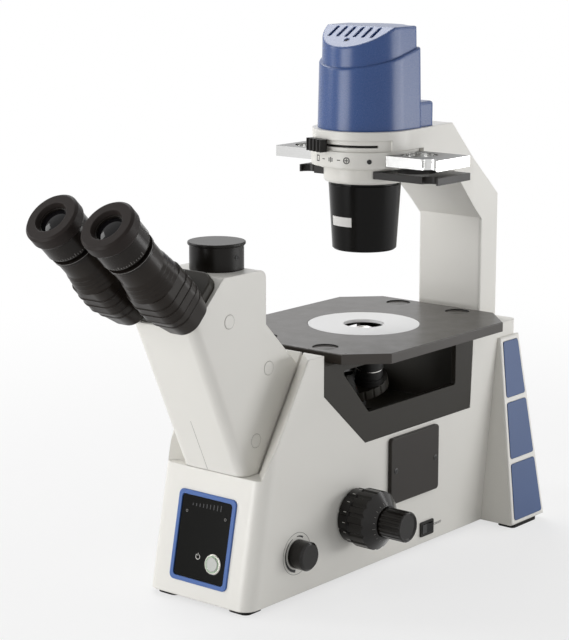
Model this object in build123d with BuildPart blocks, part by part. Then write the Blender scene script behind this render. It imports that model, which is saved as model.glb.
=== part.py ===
from build123d import *
from math import cos, pi, radians, sin, tan
import os

# Inverted microscope with a trinocular head, each piece in its own file, in one shared frame.
# Millimetres. +Z is up, +Y points to the rear, +X to the user's right.
# The origin lies on the bench, under the optical axis of the objective and the condenser.

os.makedirs("parts", exist_ok=True)

# Fits and gaps
seam = 0.4
running_fit = 0.05
sliding_fit = 0.1
swing_gap = 0.4

# Base casting
foot_height = 5.0
base_half_width = 62.0
base_front = -250.0
base_length = 430.0
base_rear = base_front + base_length
base_wall = 6.0
front_lean = 11.6
front_corner_radius = 14.0
rear_corner_radius = 8.0
rear_block_top = 207.0
shoulder_top = 223.0
bottom_plate_thickness = 3.0

# Sloping seat of the neck in the base
seat_y = -149.0
seat_z = 213.0
seat_lean = 31.9
band_depth = 17.2
band_edge = 2.0
ledge_height = 121.5
neck_groove_width = 1.4
neck_groove_depth = 3.0

# Notch of the base that takes the stage bracket
notch_front = -141.0
notch_knee = 184.5
notch_floor = 128.0
notch_floor_front = -78.0
notch_floor_rear = 97.0
notch_rear = 101.0
notch_rim = 10.0

# Stage bracket
bracket_wall = 5.0
bracket_front_wall = 20.0
window_sill = 29.0
window_front = 26.0
window_rear = 31.0
window_lintel = 9.0
window_run = 0.9
window_corner_radius = 3.0

# Stage plate and its insert
stage_top = 222.5
stage_thickness = 9.5
stage_half_width = 102.5
stage_half_length = 125.0
stage_chamfer = 33.0
stage_edge = 0.8
insert_radius = 55.0
insert_thickness = 3.0
insert_ledge = 3.0
insert_hole_radius = 20.0
swing_relief = 5.0
plug_recess_radius = 12.4
plug_recess_depth = 1.6
plug_spacing_x = 74.0
plug_spacing_y = 215.0

# Neck of the trinocular head
neck_half_width = 37.5
neck_top = 308.0
neck_rear_wall = 23.7
neck_rear_knee = 258.0
neck_front_radius = 10.0
neck_seat_radius = 8.0
tube_face_top = -251.0
tube_face_drop = 41.0
tube_angle = 45.0
side_plug_radius = 6.2
side_plug_depth = 4.0
side_plug_proud = 0.3
side_plug_places = [(-244.0, 268.0), (-190.5, 217.0), (-208.5, 153.0)]

# Photo tube and its cap
photo_set_back = 33.3
photo_y = tube_face_top + photo_set_back
neck_rear = photo_y + neck_rear_wall
photo_tube_radius = 20.0
photo_tube_height = 20.0
photo_bore_radius = 14.0
photo_wall = 4.0
photo_spigot = 10.0
cap_height = 25.0
cap_radius = 24.6
cap_flange_radius = 26.2
cap_flange = 3.0

# Binocular head
mount_width = 68.0
mount_height = 55.0
mount_corner_radius = 14.0
mount_disc_thickness = 9.0
spindle_radius = 9.0
spindle_bore_radius = 6.0
spindle_cap = 4.0
hinge_ring_radius = 20.0
hinge_ring_thickness = 9.0
half_ipd = 32.3
tube_drop = 24.0
arm_half = 22.5
arm_corner_radius = 14.0
arm_foot_half = 18.5
arm_foot_shift_x = 1.0
arm_foot_shift_y = 3.0
arm_start = 10.0
arm_straight = 38.0
arm_end = 66.0
arm_ribs = 4
arm_rib_start = 27.0
arm_rib_pitch = 9.0
arm_rib_thickness = 1.4
arm_rib_proud = 0.6
arm_ridge_radius = 24.4
arm_ridge_count = 4
arm_ridge_pitch = 5.0
arm_ridge_step = 0.6
arm_ridge_taper = 14.5
eyetube_radius = 21.4
eyetube_end = 103.0
close_angle = 12.0
open_angle = 16.0
eyepiece_barrel_radius = 11.5
eyepiece_barrel_length = 28.0
eyepiece_wall = 1.5
eyepiece_collar_radius = 22.4
eyepiece_collar = 3.5
ocular_groove = 4.0
eyepiece_body_radius = 18.0
eyepiece_top = 138.5
diopter_radius = 23.4
diopter_end = 129.6
eyecup_radius = 25.4
eyecup_end = 143.0
eyecup_mouth_radius = 15.2
eye_lens_radius = 12.5
eye_lens_thickness = 4.0
ocular_edge = 1.0
ocular_bevel = 2.0

# Light path
mirror_height = 92.0
front_mirror_y = -178.0
mirror_length = 38.0
mirror_width = 28.0
mirror_thickness = 4.0
light_radius = 15.0
prism_depth = 38.0
prism_side = 34.0
tube_lens_rise = 30.5
tube_lens_height = ledge_height + tube_lens_rise
tube_lens_thickness = 8.0

# Front panel
panel_height = 60.0
panel_width = 60.0
panel_length = 75.0
panel_thickness = 3.0
panel_pocket = 2.4
bezel_width = 4.5
bezel_thickness = 1.6
panel_radius = 3.0
button_x = 15.6
button_up = -20.0
button_ring_radius = 9.5
button_ring_proud = 1.6
button_sleeve_radius = 8.0
button_sleeve_length = 11.0
button_radius = 6.4
button_length = 9.0
button_proud = 0.6

# Brightness knob
dimmer_set_back = 70.0
dimmer_y = base_front + dimmer_set_back
dimmer_z = 44.5
dimmer_radius = 13.6
dimmer_length = 16.0
dimmer_edge = 2.0
dimmer_shaft_radius = 3.0
dimmer_shaft_length = 9.0

# Rocker switch
rocker_y = 23.5
rocker_z = 19.5
rocker_frame_length = 22.0
rocker_frame_width = 15.0
rocker_frame_proud = 1.4
rocker_rim = 2.2
rocker_body_depth = 16.0
rocker_length = 16.0
rocker_width = 9.0
rocker_proud = 3.0
rocker_depth = 5.0
rocker_pin_radius = 1.2
rocker_pin_reach = 1.0
rocker_tilt = 7.0

# Side cover
cover_y = -1.5
cover_z = 91.0
cover_length = 79.0
cover_height = 66.0
cover_thickness = 4.0
cover_radius = 4.0

# Focus drive
focus_y = -95.0
focus_z = 61.5
bearing_radius = 14.0
bearing_inset = 11.0
shaft_radius = 7.0
shaft_waist_radius = 5.5
fine_shaft_radius = 3.0
tension_ring_radius = 26.0
tension_ring_length = 11.6
left_collar_radius = 24.0
coarse_radius = 28.0
coarse_gap = 0.6
coarse_grip = 17.4
coarse_cone = 9.0
coarse_face_radius = 16.0
coarse_edge = 1.0
coarse_lobes = 18
coarse_flute_radius = 2.6
fine_radius = 14.5
fine_gap = 0.8
fine_length = 24.2
fine_flutes = 20
fine_flute_radius = 1.1
fine_dish_depth = 1.2
fine_cap = 6.0
gear_module = 1.0
pinion_teeth = 12
tooth_addendum = 0.8
tooth_dedendum = 1.1
tooth_root_half = 0.8
tooth_tip_half = 0.3
pinion_inset = 28.0
pinion_width = 16.0
bearing_inner = base_half_width - bearing_inset
bearing_outer = base_half_width + swing_gap + tension_ring_length
coarse_start = bearing_outer + coarse_gap
coarse_cone_start = coarse_start + coarse_grip
coarse_end = coarse_cone_start + coarse_cone
fine_start = coarse_end + fine_gap
fine_end = fine_start + fine_length
fine_shaft_end = fine_end - fine_dish_depth - fine_cap
pinion_x = base_half_width - pinion_inset

# Focus guide and carriage
guide_half_width = 12.0
guide_front = -60.0
guide_depth = 12.0
guide_top = 96.0
carriage_bottom = 30.0
carriage_cheek = 4.0
carriage_cheek_reach = 10.0
shelf_bottom = 103.0
shelf_thickness = 9.0
post_half_width = 14.0
post_front = -48.0
post_depth = 13.0
post_top = 152.0
post_bracket = 9.0
post_clearance = 3.0
bracket_reach = -10.0

# Turret and objectives
turret_tilt = 12.0
turret_pitch_radius = 24.0
objective_shoulder = 177.5
turret_radius = 38.0
turret_thickness = 12.0
turret_groove_count = 24
turret_groove_radius = 1.6
pivot_radius = 5.0
pivot_plate_radius = 11.0
pivot_plate_thickness = 10.0
thread_radius = 10.0
thread_length = 5.0
objective_tip_radius = 8.0
objective_lengths = [41.0, 34.0, 38.0, 40.0]
objective_radii = [14.0, 12.6, 13.2, 13.6]
objective_collar = 6.0
objective_nose = 7.0
objective_groove = 0.8
objective_lens_rim = 1.4

# Column and arm
column_half_width = 38.5
column_front = 144.6
column_rear = 176.6
column_inner_knee = 314.0
column_edge_radius = 3.0
column_rear_knee = 334.0
arm_top = 416.0
arm_top_rear = 85.0
arm_underside = 381.5
arm_taper_end = 130.0
head_radius = 51.0
head_bottom = 397.0
head_recess_radius = 49.0
head_recess_top = 407.5
head_recess_side = -19.2
iris_cavity_radius = 46.0
iris_cavity_top = 406.0
head_bore_radius = 30.0
collector_radius = 34.0
collector_seat = 4.0
iris_slot_bottom = 401.0
iris_slot_top = 403.4
iris_slot_angle = 52.0
lever_angle = -18.0
lever_width = 24.0
lever_height = 12.0
lever_reach = 60.0
lever_ribs = 4
lever_stem = 6.0
iris_ring_thickness = 1.6
iris_ring_bore = 22.0

# Condenser carrier, sliders, ring and cup
carrier_radius = 52.0
carrier_wrap = 30.0
slider_half_width = 26.4
upper_slider_bottom = 383.6
upper_slider_thickness = 10.4
upper_slider_left = -89.7
upper_slider_right = 104.2
upper_slider_hole = 18.0
upper_slider_pitch = 64.0
slider_notch_radius = 8.0
slider_notch_inset = 10.0
lower_slider_bottom = 370.6
lower_slider_thickness = 7.0
lower_slider_left = -60.0
lower_slider_right = 105.0
lower_slider_hole = 20.0
lower_slider_pitch = 62.0
ring_radius = 40.0
ring_bottom = 364.5
ring_step = 379.0
ring_step_radius = 44.0
ring_edge_radius = 3.0
light_bore_radius = 24.0
cup_top_radius = 35.2
cup_bottom_radius = 31.3
cup_top = 361.8
cup_bottom = 298.0
cup_neck_radius = 33.0
cup_wall = 4.0
cup_edge = 1.5
condenser_lens_thickness = 9.0

# Lamp housing and what it covers
lamp_radius = 46.0
lamp_rear = 32.0
lamp_inset = 2.6
lamp_taper = 1.2
lamp_wall = 3.0
lamp_corner_radius = 6.0
lamp_edge_radius = 1.8
lamp_upward = 0.3
lamp_step_front = 474.5
lamp_step_rear = 494.0
lamp_top = 513.0
lamp_top_front = 492.0
lamp_top_break = -8.0
lamp_ledge_rear = 55.0
lamp_ledge_top = 440.0
lamp_slots = 6
lamp_slot_width = 3.2
lamp_slot_length = 18.0
lamp_slot_pitch = 10.0
lamp_slot_drop = 2.0
lamp_screw_radius = 2.6
lamp_screw_drop = 25.0
led_radius = 38.0
led_thickness = 4.0
led_window_radius = 8.0
sink_radius = 36.0
sink_base = 5.0
sink_height = 42.0
sink_fins = 9
sink_fin_thickness = 2.0

# Rear legs, panels, feet and mains inlet
leg_top = 192.0
leg_top_front = 145.0
leg_top_rear = base_rear
leg_top_reach = 3.0
leg_top_x = base_half_width + leg_top_reach
leg_front = 120.0
leg_rear = base_rear
leg_bottom_reach = 39.0
leg_bottom_x = base_half_width + leg_bottom_reach
leg_edge_radius = 4.0
panel_inlay_thickness = 1.6
panel_inlay_pocket = 1.0
inlay_count = 3
inlay_margin = 4.4
inlay_gap = 5.0
inlay_radius = 3.0
rear_foot_length = 44.0
rear_foot_width = 20.0
front_foot_side = 24.0
front_foot_inset = 7.0
front_foot_radius = 6.0
foot_inset = 4.0
inlet_z = 60.0
inlet_width = 48.0
inlet_height = 27.0
inlet_flange = 2.5
inlet_depth = 24.0
socket_width = 24.0
socket_height = 16.5
pin_width = 2.0
pin_height = 4.0
pin_length = 14.0
pin_spacing = 7.0


def write(piece, name):
    """Label a finished piece and write it to its own file."""
    piece.part.label = name
    export_step(piece.part, f"parts/{name}.step")


def side_plane(x, y=0.0, z=0.0):
    """Plane square to X at the given point: its own axes are Y and Z."""
    return Plane(origin=(x, y, z), x_dir=(0, 1, 0), z_dir=(1, 0, 0))


def front_y(z):
    """Y of the leaning front face at height z."""
    return base_front + (z - foot_height) * tan(radians(front_lean))


def seat_y_at(z, depth=0.0):
    """Y, at height z, of the line that lies the given depth in front of the neck seat."""
    return seat_y - depth / cos(radians(seat_lean)) + (z - seat_z) * tan(radians(seat_lean))


# Where the leaning front face meets the sloping band
rim_height = (seat_y_at(0.0, band_depth) - front_y(0.0)) / (tan(radians(front_lean)) - tan(radians(seat_lean)))
floor_height = foot_height + base_wall
plate_top = foot_height + bottom_plate_thickness
stage_bottom = stage_top - stage_thickness
slot_half_width = neck_half_width + neck_groove_width
bracket_top = stage_bottom

# Planes of the leaning faces
front_plane = Plane(
    origin=(0, front_y(panel_height), panel_height),
    x_dir=(1, 0, 0),
    z_dir=(0, -cos(radians(front_lean)), sin(radians(front_lean))),
)
seat_plane = Plane(
    origin=(0, seat_y, seat_z),
    x_dir=(1, 0, 0),
    z_dir=(0, sin(radians(seat_lean)), cos(radians(seat_lean))),
)
tube_middle = (tube_face_top - tube_face_drop / 2, neck_top - tube_face_drop / 2)
tube_plane = Plane(
    origin=(0, tube_middle[0], tube_middle[1]),
    x_dir=(1, 0, 0),
    z_dir=(0, -sin(radians(tube_angle)), cos(radians(tube_angle))),
)
turret_centre = (
    -turret_pitch_radius * cos(radians(turret_tilt)),
    objective_shoulder - turret_pitch_radius * sin(radians(turret_tilt)),
)
turret_plane = Plane(
    origin=(0, turret_centre[0], turret_centre[1]),
    x_dir=(1, 0, 0),
    z_dir=(0, -sin(radians(turret_tilt)), cos(radians(turret_tilt))),
)

# Straight light path from the front mirror up the neck to the prism
prism_middle = tube_plane.offset(-prism_depth / 2).origin
light_start = Vector(0, front_mirror_y, mirror_height)
light_up = (prism_middle - light_start).normalized()


def light_plane(height):
    """Plane square to the light path in the neck, where it passes the given height."""
    along = (height - mirror_height) / light_up.Z
    return Plane(origin=light_start + light_up * along, x_dir=(1, 0, 0), z_dir=light_up)


def notch_points(gap):
    """Outline of the notch in the base, drawn in by a gap at its front and rear walls."""
    return [
        (notch_front + gap, notch_knee),
        (notch_floor_front + gap, notch_floor),
        (notch_floor_rear - gap, notch_floor),
    ]


# Base casting

with BuildPart() as seat_tool:
    flare = (base_half_width - band_edge - slot_half_width) / band_depth
    reach = 2 * band_depth
    with BuildSketch(seat_plane):
        with BuildLine():
            Polyline(
                (-slot_half_width, 0),
                (slot_half_width, 0),
                (slot_half_width + flare * reach, -reach),
                (-slot_half_width - flare * reach, -reach),
                close=True,
            )
        make_face()
        for side in (1, -1):
            with Locations((side * neck_half_width, neck_groove_depth / 2)):
                Rectangle(2 * neck_groove_width, neck_groove_depth)
    extrude(amount=shoulder_top - foot_height, both=True)
    split(bisect_by=Plane.XY.offset(ledge_height), keep=Keep.TOP)

with BuildPart() as base_casting:
    with BuildSketch(Plane.YZ):
        with BuildLine():
            Polyline(
                (base_front, foot_height),
                (front_y(rim_height), rim_height),
                (seat_y_at(shoulder_top, band_depth), shoulder_top),
                (notch_front, shoulder_top),
                *notch_points(0.0),
                (notch_rear, rear_block_top),
                (base_rear, rear_block_top),
                (base_rear, foot_height),
                close=True,
            )
        make_face()
    extrude(amount=base_half_width, both=True)
    upright = base_casting.edges().filter_by(Plane.YZ)
    fillet(upright.filter_by_position(Axis.Y, base_front, front_y(rim_height)), front_corner_radius)
    rear_edges = base_casting.edges().filter_by(Axis.Z).filter_by_position(Axis.Y, base_rear - 1, base_rear + 1)
    fillet(rear_edges, rear_corner_radius)
    add(seat_tool.part, mode=Mode.SUBTRACT)
    # Hollow inside
    inner_half = base_half_width - base_wall
    cavity_top = ledge_height - base_wall
    knee_inside = notch_knee - base_wall
    diagonal_run = (notch_floor_front - notch_front) / (notch_knee - notch_floor)
    with BuildSketch(Plane.YZ):
        with BuildLine():
            Polyline(
                (front_y(floor_height) + base_wall, floor_height),
                (front_y(cavity_top) + base_wall, cavity_top),
                (seat_y_at(cavity_top, -base_wall), cavity_top),
                (seat_y_at(knee_inside, -base_wall), knee_inside),
                (notch_front - base_wall, knee_inside),
                (notch_front - base_wall + (knee_inside - notch_floor + base_wall) * diagonal_run,
                 notch_floor - base_wall),
                (notch_rear + base_wall, notch_floor - base_wall),
                (notch_rear + base_wall, rear_block_top - base_wall),
                (base_rear - base_wall, rear_block_top - base_wall),
                (base_rear - base_wall, floor_height),
                close=True,
            )
        make_face()
    extrude(amount=inner_half, both=True, mode=Mode.SUBTRACT)
    # Bottom opening with a rabbet for the base plate
    opening_front = front_y(floor_height) + 2 * base_wall
    opening_rear = base_rear - 2 * base_wall
    opening_middle = (opening_front + opening_rear) / 2
    opening_length = opening_rear - opening_front
    opening_width = 2 * (inner_half - base_wall)
    with BuildSketch(Plane.XY.offset(foot_height)):
        with Locations((0, opening_middle)):
            Rectangle(opening_width, opening_length)
    extrude(amount=base_wall, mode=Mode.SUBTRACT)
    with BuildSketch(Plane.XY.offset(foot_height)):
        with Locations((0, opening_middle)):
            Rectangle(opening_width + base_wall, opening_length + base_wall)
    extrude(amount=bottom_plate_thickness, mode=Mode.SUBTRACT)
    # Opening under the stage bracket
    with BuildSketch(Plane.XY.offset(notch_floor - base_wall)):
        with Locations((0, (notch_floor_front + notch_floor_rear) / 2)):
            Rectangle(2 * (inner_half - notch_rim), notch_floor_rear - notch_floor_front - 2 * notch_rim)
    extrude(amount=base_wall, mode=Mode.SUBTRACT)
    # Bores of the focus drive, the light path, the knob, the switch, the panel and the inlet
    with BuildSketch(side_plane(0, focus_y, focus_z)):
        Circle(bearing_radius)
    extrude(amount=base_half_width, both=True, mode=Mode.SUBTRACT)
    with BuildSketch(light_plane(ledge_height)):
        Circle(light_radius)
    extrude(amount=(notch_knee - ledge_height) / 2, both=True, mode=Mode.SUBTRACT)
    with BuildSketch(side_plane(inner_half, dimmer_y, dimmer_z)):
        Circle(dimmer_shaft_radius + running_fit)
    extrude(amount=base_wall, mode=Mode.SUBTRACT)
    with BuildSketch(side_plane(inner_half, rocker_y, rocker_z)):
        Rectangle(rocker_frame_length - rocker_rim, rocker_frame_width - rocker_rim)
    extrude(amount=base_wall, mode=Mode.SUBTRACT)
    with BuildSketch(front_plane):
        RectangleRounded(panel_width + 2 * seam, panel_length + 2 * seam, panel_radius + seam)
    extrude(amount=-panel_pocket, mode=Mode.SUBTRACT)
    with BuildSketch(front_plane):
        with Locations((button_x, button_up)):
            Circle(button_sleeve_radius)
    extrude(amount=-2 * base_wall, mode=Mode.SUBTRACT)
    with BuildSketch(Plane.XZ.offset(-base_rear)):
        with Locations((0, inlet_z)):
            Rectangle(socket_width + 2 * inlet_flange, socket_height + 2 * inlet_flange)
    extrude(amount=base_wall, mode=Mode.SUBTRACT)
write(base_casting, "base_casting")

with BuildPart() as base_plate:
    with BuildSketch(Plane.XY.offset(foot_height)):
        with Locations((0, opening_middle)):
            Rectangle(opening_width + base_wall - 2 * seam, opening_length + base_wall - 2 * seam)
    extrude(amount=bottom_plate_thickness)
write(base_plate, "base_plate")

# Rear legs with their inlaid panels

leg_height = leg_top - foot_height
leg_slope_length = (leg_height**2 + (leg_bottom_x - leg_top_x) ** 2) ** 0.5


def leg_plane(side):
    """Plane of a leg's outer face, with its origin at the middle of the lower edge and Y up the slope."""
    return Plane(
        origin=(side * leg_bottom_x, (leg_front + leg_rear) / 2, foot_height),
        x_dir=(0, side, 0),
        z_dir=(side * leg_height, 0, leg_bottom_x - leg_top_x),
    )


def inlay_sketch(side, margin):
    """Outlines of the panels on a leg's outer face, drawn in from the face's border by a margin."""
    length = (leg_slope_length - 2 * inlay_margin - (inlay_count - 1) * inlay_gap) / inlay_count
    top_middle = side * ((leg_top_front + leg_top_rear) / 2 - (leg_front + leg_rear) / 2)
    with BuildSketch(leg_plane(side)) as sketch:
        for i in range(inlay_count):
            low = inlay_margin + i * (length + inlay_gap)
            corners = []
            for up, hand in ((low, -1), (low, 1), (low + length, 1), (low + length, -1)):
                share = up / leg_slope_length
                half = (leg_rear - leg_front) / 2 * (1 - share) + (leg_top_rear - leg_top_front) / 2 * share
                inward = margin if up == low else -margin
                corners.append((top_middle * share + hand * (half - inlay_margin - margin), up + inward))
            with BuildLine():
                Polyline(*corners, close=True)
            make_face()
        fillet(sketch.vertices(), inlay_radius - margin)
    return sketch.sketch


def make_leg(side):
    """One flared leg, flush against the side of the base, with pockets for its panels."""
    with BuildPart() as leg:
        with BuildSketch(Plane.XY.offset(foot_height)):
            with Locations((side * (base_half_width + leg_bottom_x) / 2, (leg_front + leg_rear) / 2)):
                Rectangle(leg_bottom_x - base_half_width, leg_rear - leg_front)
        with BuildSketch(Plane.XY.offset(leg_top)):
            with Locations((side * (base_half_width + leg_top_x) / 2, (leg_top_front + leg_top_rear) / 2)):
                Rectangle(leg_top_x - base_half_width, leg_top_rear - leg_top_front)
        loft(ruled=True)
        outer = leg.faces().sort_by(Axis.X)[-1 if side > 0 else 0]
        fillet(outer.edges(), leg_edge_radius / 2)
        extrude(inlay_sketch(side, 0.0), amount=-panel_inlay_pocket, mode=Mode.SUBTRACT)
    return leg


right_leg = make_leg(1)
write(right_leg, "right_leg")
left_leg = make_leg(-1)
write(left_leg, "left_leg")

with BuildPart() as leg_panels:
    for side in (1, -1):
        sunk = inlay_sketch(side, seam / 2)
        extrude(sunk, amount=-panel_inlay_pocket, dir=leg_plane(side).z_dir)
        extrude(sunk, amount=panel_inlay_thickness - panel_inlay_pocket, dir=leg_plane(side).z_dir)
write(leg_panels, "leg_panels")

with BuildPart() as feet:
    with BuildSketch(Plane.XY):
        for side in (1, -1):
            with Locations((side * (leg_bottom_x - foot_inset - rear_foot_width / 2), (leg_front + leg_rear) / 2)):
                RectangleRounded(rear_foot_width, rear_foot_length, foot_inset)
            front_foot_x = base_half_width - front_foot_inset - front_foot_side / 2
            with Locations((side * front_foot_x, base_front + front_foot_inset + front_foot_side / 2)):
                RectangleRounded(front_foot_side, front_foot_side, front_foot_radius)
    extrude(amount=foot_height)
write(feet, "feet")

# Mains inlet in the rear wall

with BuildPart() as power_inlet:
    with BuildSketch(Plane.XZ.offset(-base_rear)):
        with Locations((0, inlet_z)):
            RectangleRounded(inlet_width, inlet_height, inlet_flange)
    extrude(amount=-inlet_flange)
    with BuildSketch(Plane.XZ.offset(-base_rear)):
        with Locations((0, inlet_z)):
            Rectangle(socket_width + 2 * inlet_flange - seam, socket_height + 2 * inlet_flange - seam)
    extrude(amount=inlet_depth)
    with BuildSketch(Plane.XZ.offset(-base_rear - inlet_flange)):
        with Locations((0, inlet_z)):
            Rectangle(socket_width, socket_height)
    extrude(amount=inlet_depth, mode=Mode.SUBTRACT)
    with BuildSketch(Plane.XZ.offset(-base_rear + inlet_depth - inlet_flange)):
        with Locations((-pin_spacing, inlet_z), (0, inlet_z + pin_height / 2), (pin_spacing, inlet_z)):
            Rectangle(pin_width, pin_height)
    extrude(amount=-pin_length)
write(power_inlet, "power_inlet")

# Neck of the trinocular head

neck_foot = ledge_height + seam
neck_front_foot = front_y(ledge_height)
neck_profile = [
    (tube_face_top, neck_top),
    (neck_rear, neck_top),
    (neck_rear, neck_rear_knee),
    (seat_y_at(seat_z, seam), seat_z),
    (seat_y_at(neck_foot, seam), neck_foot),
    (neck_front_foot, neck_foot),
    (tube_face_top - tube_face_drop, neck_top - tube_face_drop),
]

with BuildPart() as head_housing:
    with BuildSketch(Plane.YZ) as neck_side:
        with BuildLine():
            Polyline(*neck_profile, close=True)
        make_face()
        seat_corners = neck_side.vertices().sort_by(Axis.Y)[-1:] + neck_side.vertices().sort_by(Axis.Z)[1:2]
        fillet(seat_corners, neck_seat_radius)
    extrude(amount=neck_half_width, both=True)
    front_edges = head_housing.edges().filter_by(Plane.YZ)
    front_edges = front_edges.filter_by_position(
        Axis.Y, tube_face_top - tube_face_drop, (tube_face_top + neck_front_foot) / 2, (True, True)
    ).sort_by(SortBy.LENGTH)[-2:]
    fillet(front_edges, neck_front_radius)
    # Light path, prism chamber, photo bore and plug holes
    with BuildSketch(light_plane(seat_z)):
        Circle(light_radius)
    extrude(amount=prism_middle.Z - seat_z, mode=Mode.SUBTRACT)
    with BuildSketch(light_plane(seat_z)):
        Circle(light_radius)
    extrude(amount=-(seat_z - ledge_height + light_radius), mode=Mode.SUBTRACT)
    with BuildSketch(tube_plane):
        Rectangle(prism_side + 2 * seam, prism_side + 2 * seam)
    extrude(amount=-prism_depth, mode=Mode.SUBTRACT)
    with BuildSketch(Plane.XY.offset(neck_top)):
        with Locations((0, photo_y)):
            Circle(photo_bore_radius)
    extrude(amount=-(neck_top - seat_z), mode=Mode.SUBTRACT)
    for side in (1, -1):
        with BuildSketch(side_plane(side * neck_half_width)):
            with Locations(*side_plug_places):
                Circle(side_plug_radius)
        extrude(amount=-side * side_plug_depth, mode=Mode.SUBTRACT)
write(head_housing, "head_housing")

with BuildPart() as head_plugs:
    for side in (1, -1):
        with BuildSketch(side_plane(side * (neck_half_width - side_plug_depth))):
            with Locations(*side_plug_places):
                Circle(side_plug_radius)
        extrude(amount=side * (side_plug_depth + side_plug_proud))
write(head_plugs, "head_plugs")

with BuildPart() as tube_lens:
    with BuildSketch(light_plane(tube_lens_height)):
        Circle(light_radius)
    extrude(amount=tube_lens_thickness)
    lens_rims = tube_lens.edges().filter_by(GeomType.CIRCLE)
    chamfer(lens_rims, tube_lens_thickness / 4, light_radius / 2)
write(tube_lens, "tube_lens")

with BuildPart() as head_prism:
    with BuildSketch(tube_plane.offset(-prism_depth)):
        Rectangle(prism_side, prism_side)
    extrude(amount=prism_side * 2 / 3)
    back_edge = head_prism.edges().filter_by(Axis.X).group_by(Axis.Z)[-1]
    chamfer(back_edge, prism_side / 3)
write(head_prism, "head_prism")

# Photo tube and its cap

with BuildPart() as photo_tube:
    with BuildSketch(Plane.XY.offset(neck_top)):
        with Locations((0, photo_y)):
            Circle(photo_tube_radius)
    extrude(amount=photo_tube_height)
    with BuildSketch(Plane.XY.offset(neck_top)):
        with Locations((0, photo_y)):
            Circle(photo_bore_radius)
    extrude(amount=-photo_spigot)
    with BuildSketch(Plane.XY.offset(neck_top + photo_tube_height)):
        with Locations((0, photo_y)):
            Circle(photo_bore_radius - photo_wall)
    extrude(amount=-photo_tube_height - photo_spigot, mode=Mode.SUBTRACT)
write(photo_tube, "photo_tube")

with BuildPart() as photo_cap:
    with BuildSketch(Plane.XY.offset(neck_top)):
        with Locations((0, photo_y)):
            Circle(cap_radius)
    extrude(amount=cap_height - cap_flange)
    with BuildSketch(Plane.XY.offset(neck_top + cap_height - cap_flange)):
        with Locations((0, photo_y)):
            Circle(cap_flange_radius)
    extrude(amount=cap_flange)
    cap_rim = photo_cap.edges().filter_by(GeomType.CIRCLE).sort_by(SortBy.RADIUS)[-2:]
    fillet(cap_rim, cap_flange / 3)
    with BuildSketch(Plane.XY.offset(neck_top)):
        with Locations((0, photo_y)):
            Circle(photo_tube_radius + swing_gap)
    extrude(amount=photo_tube_height + swing_gap, mode=Mode.SUBTRACT)
write(photo_cap, "photo_cap")

# Binocular mount, ocular arms and eyepieces, all along the axis of the tube plane

right_ring_start = mount_disc_thickness + swing_gap
left_ring_start = right_ring_start + hinge_ring_thickness + swing_gap
spindle_end = left_ring_start + hinge_ring_thickness + swing_gap

with BuildPart() as bino_mount:
    with BuildSketch(tube_plane):
        RectangleRounded(mount_width, mount_height, mount_corner_radius)
    extrude(amount=mount_disc_thickness)
    mount_rim = bino_mount.faces().sort_by(Axis(tube_plane.origin, tube_plane.z_dir))[-1].edges()
    fillet(mount_rim, mount_disc_thickness / 6)
    with BuildSketch(tube_plane.offset(mount_disc_thickness)):
        Circle(spindle_radius)
    extrude(amount=spindle_end - mount_disc_thickness)
    with BuildSketch(tube_plane):
        Circle(spindle_bore_radius)
    extrude(amount=spindle_end - spindle_cap, mode=Mode.SUBTRACT)
write(bino_mount, "bino_mount")


def arm_section(side, along, proud=0.0):
    """Rounded square of an ocular arm at a height over the tube plane, smaller and shifted towards its foot."""
    share = min(1.0, (along - arm_start) / (arm_straight - arm_start))
    half = arm_foot_half + (arm_half - arm_foot_half) * share + proud
    middle_x = side * (half_ipd - arm_foot_shift_x * (1 - share))
    middle_y = arm_foot_shift_y * (1 - share) - tube_drop
    with Locations((middle_x, middle_y)):
        RectangleRounded(2 * half, 2 * half, arm_corner_radius)


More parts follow.
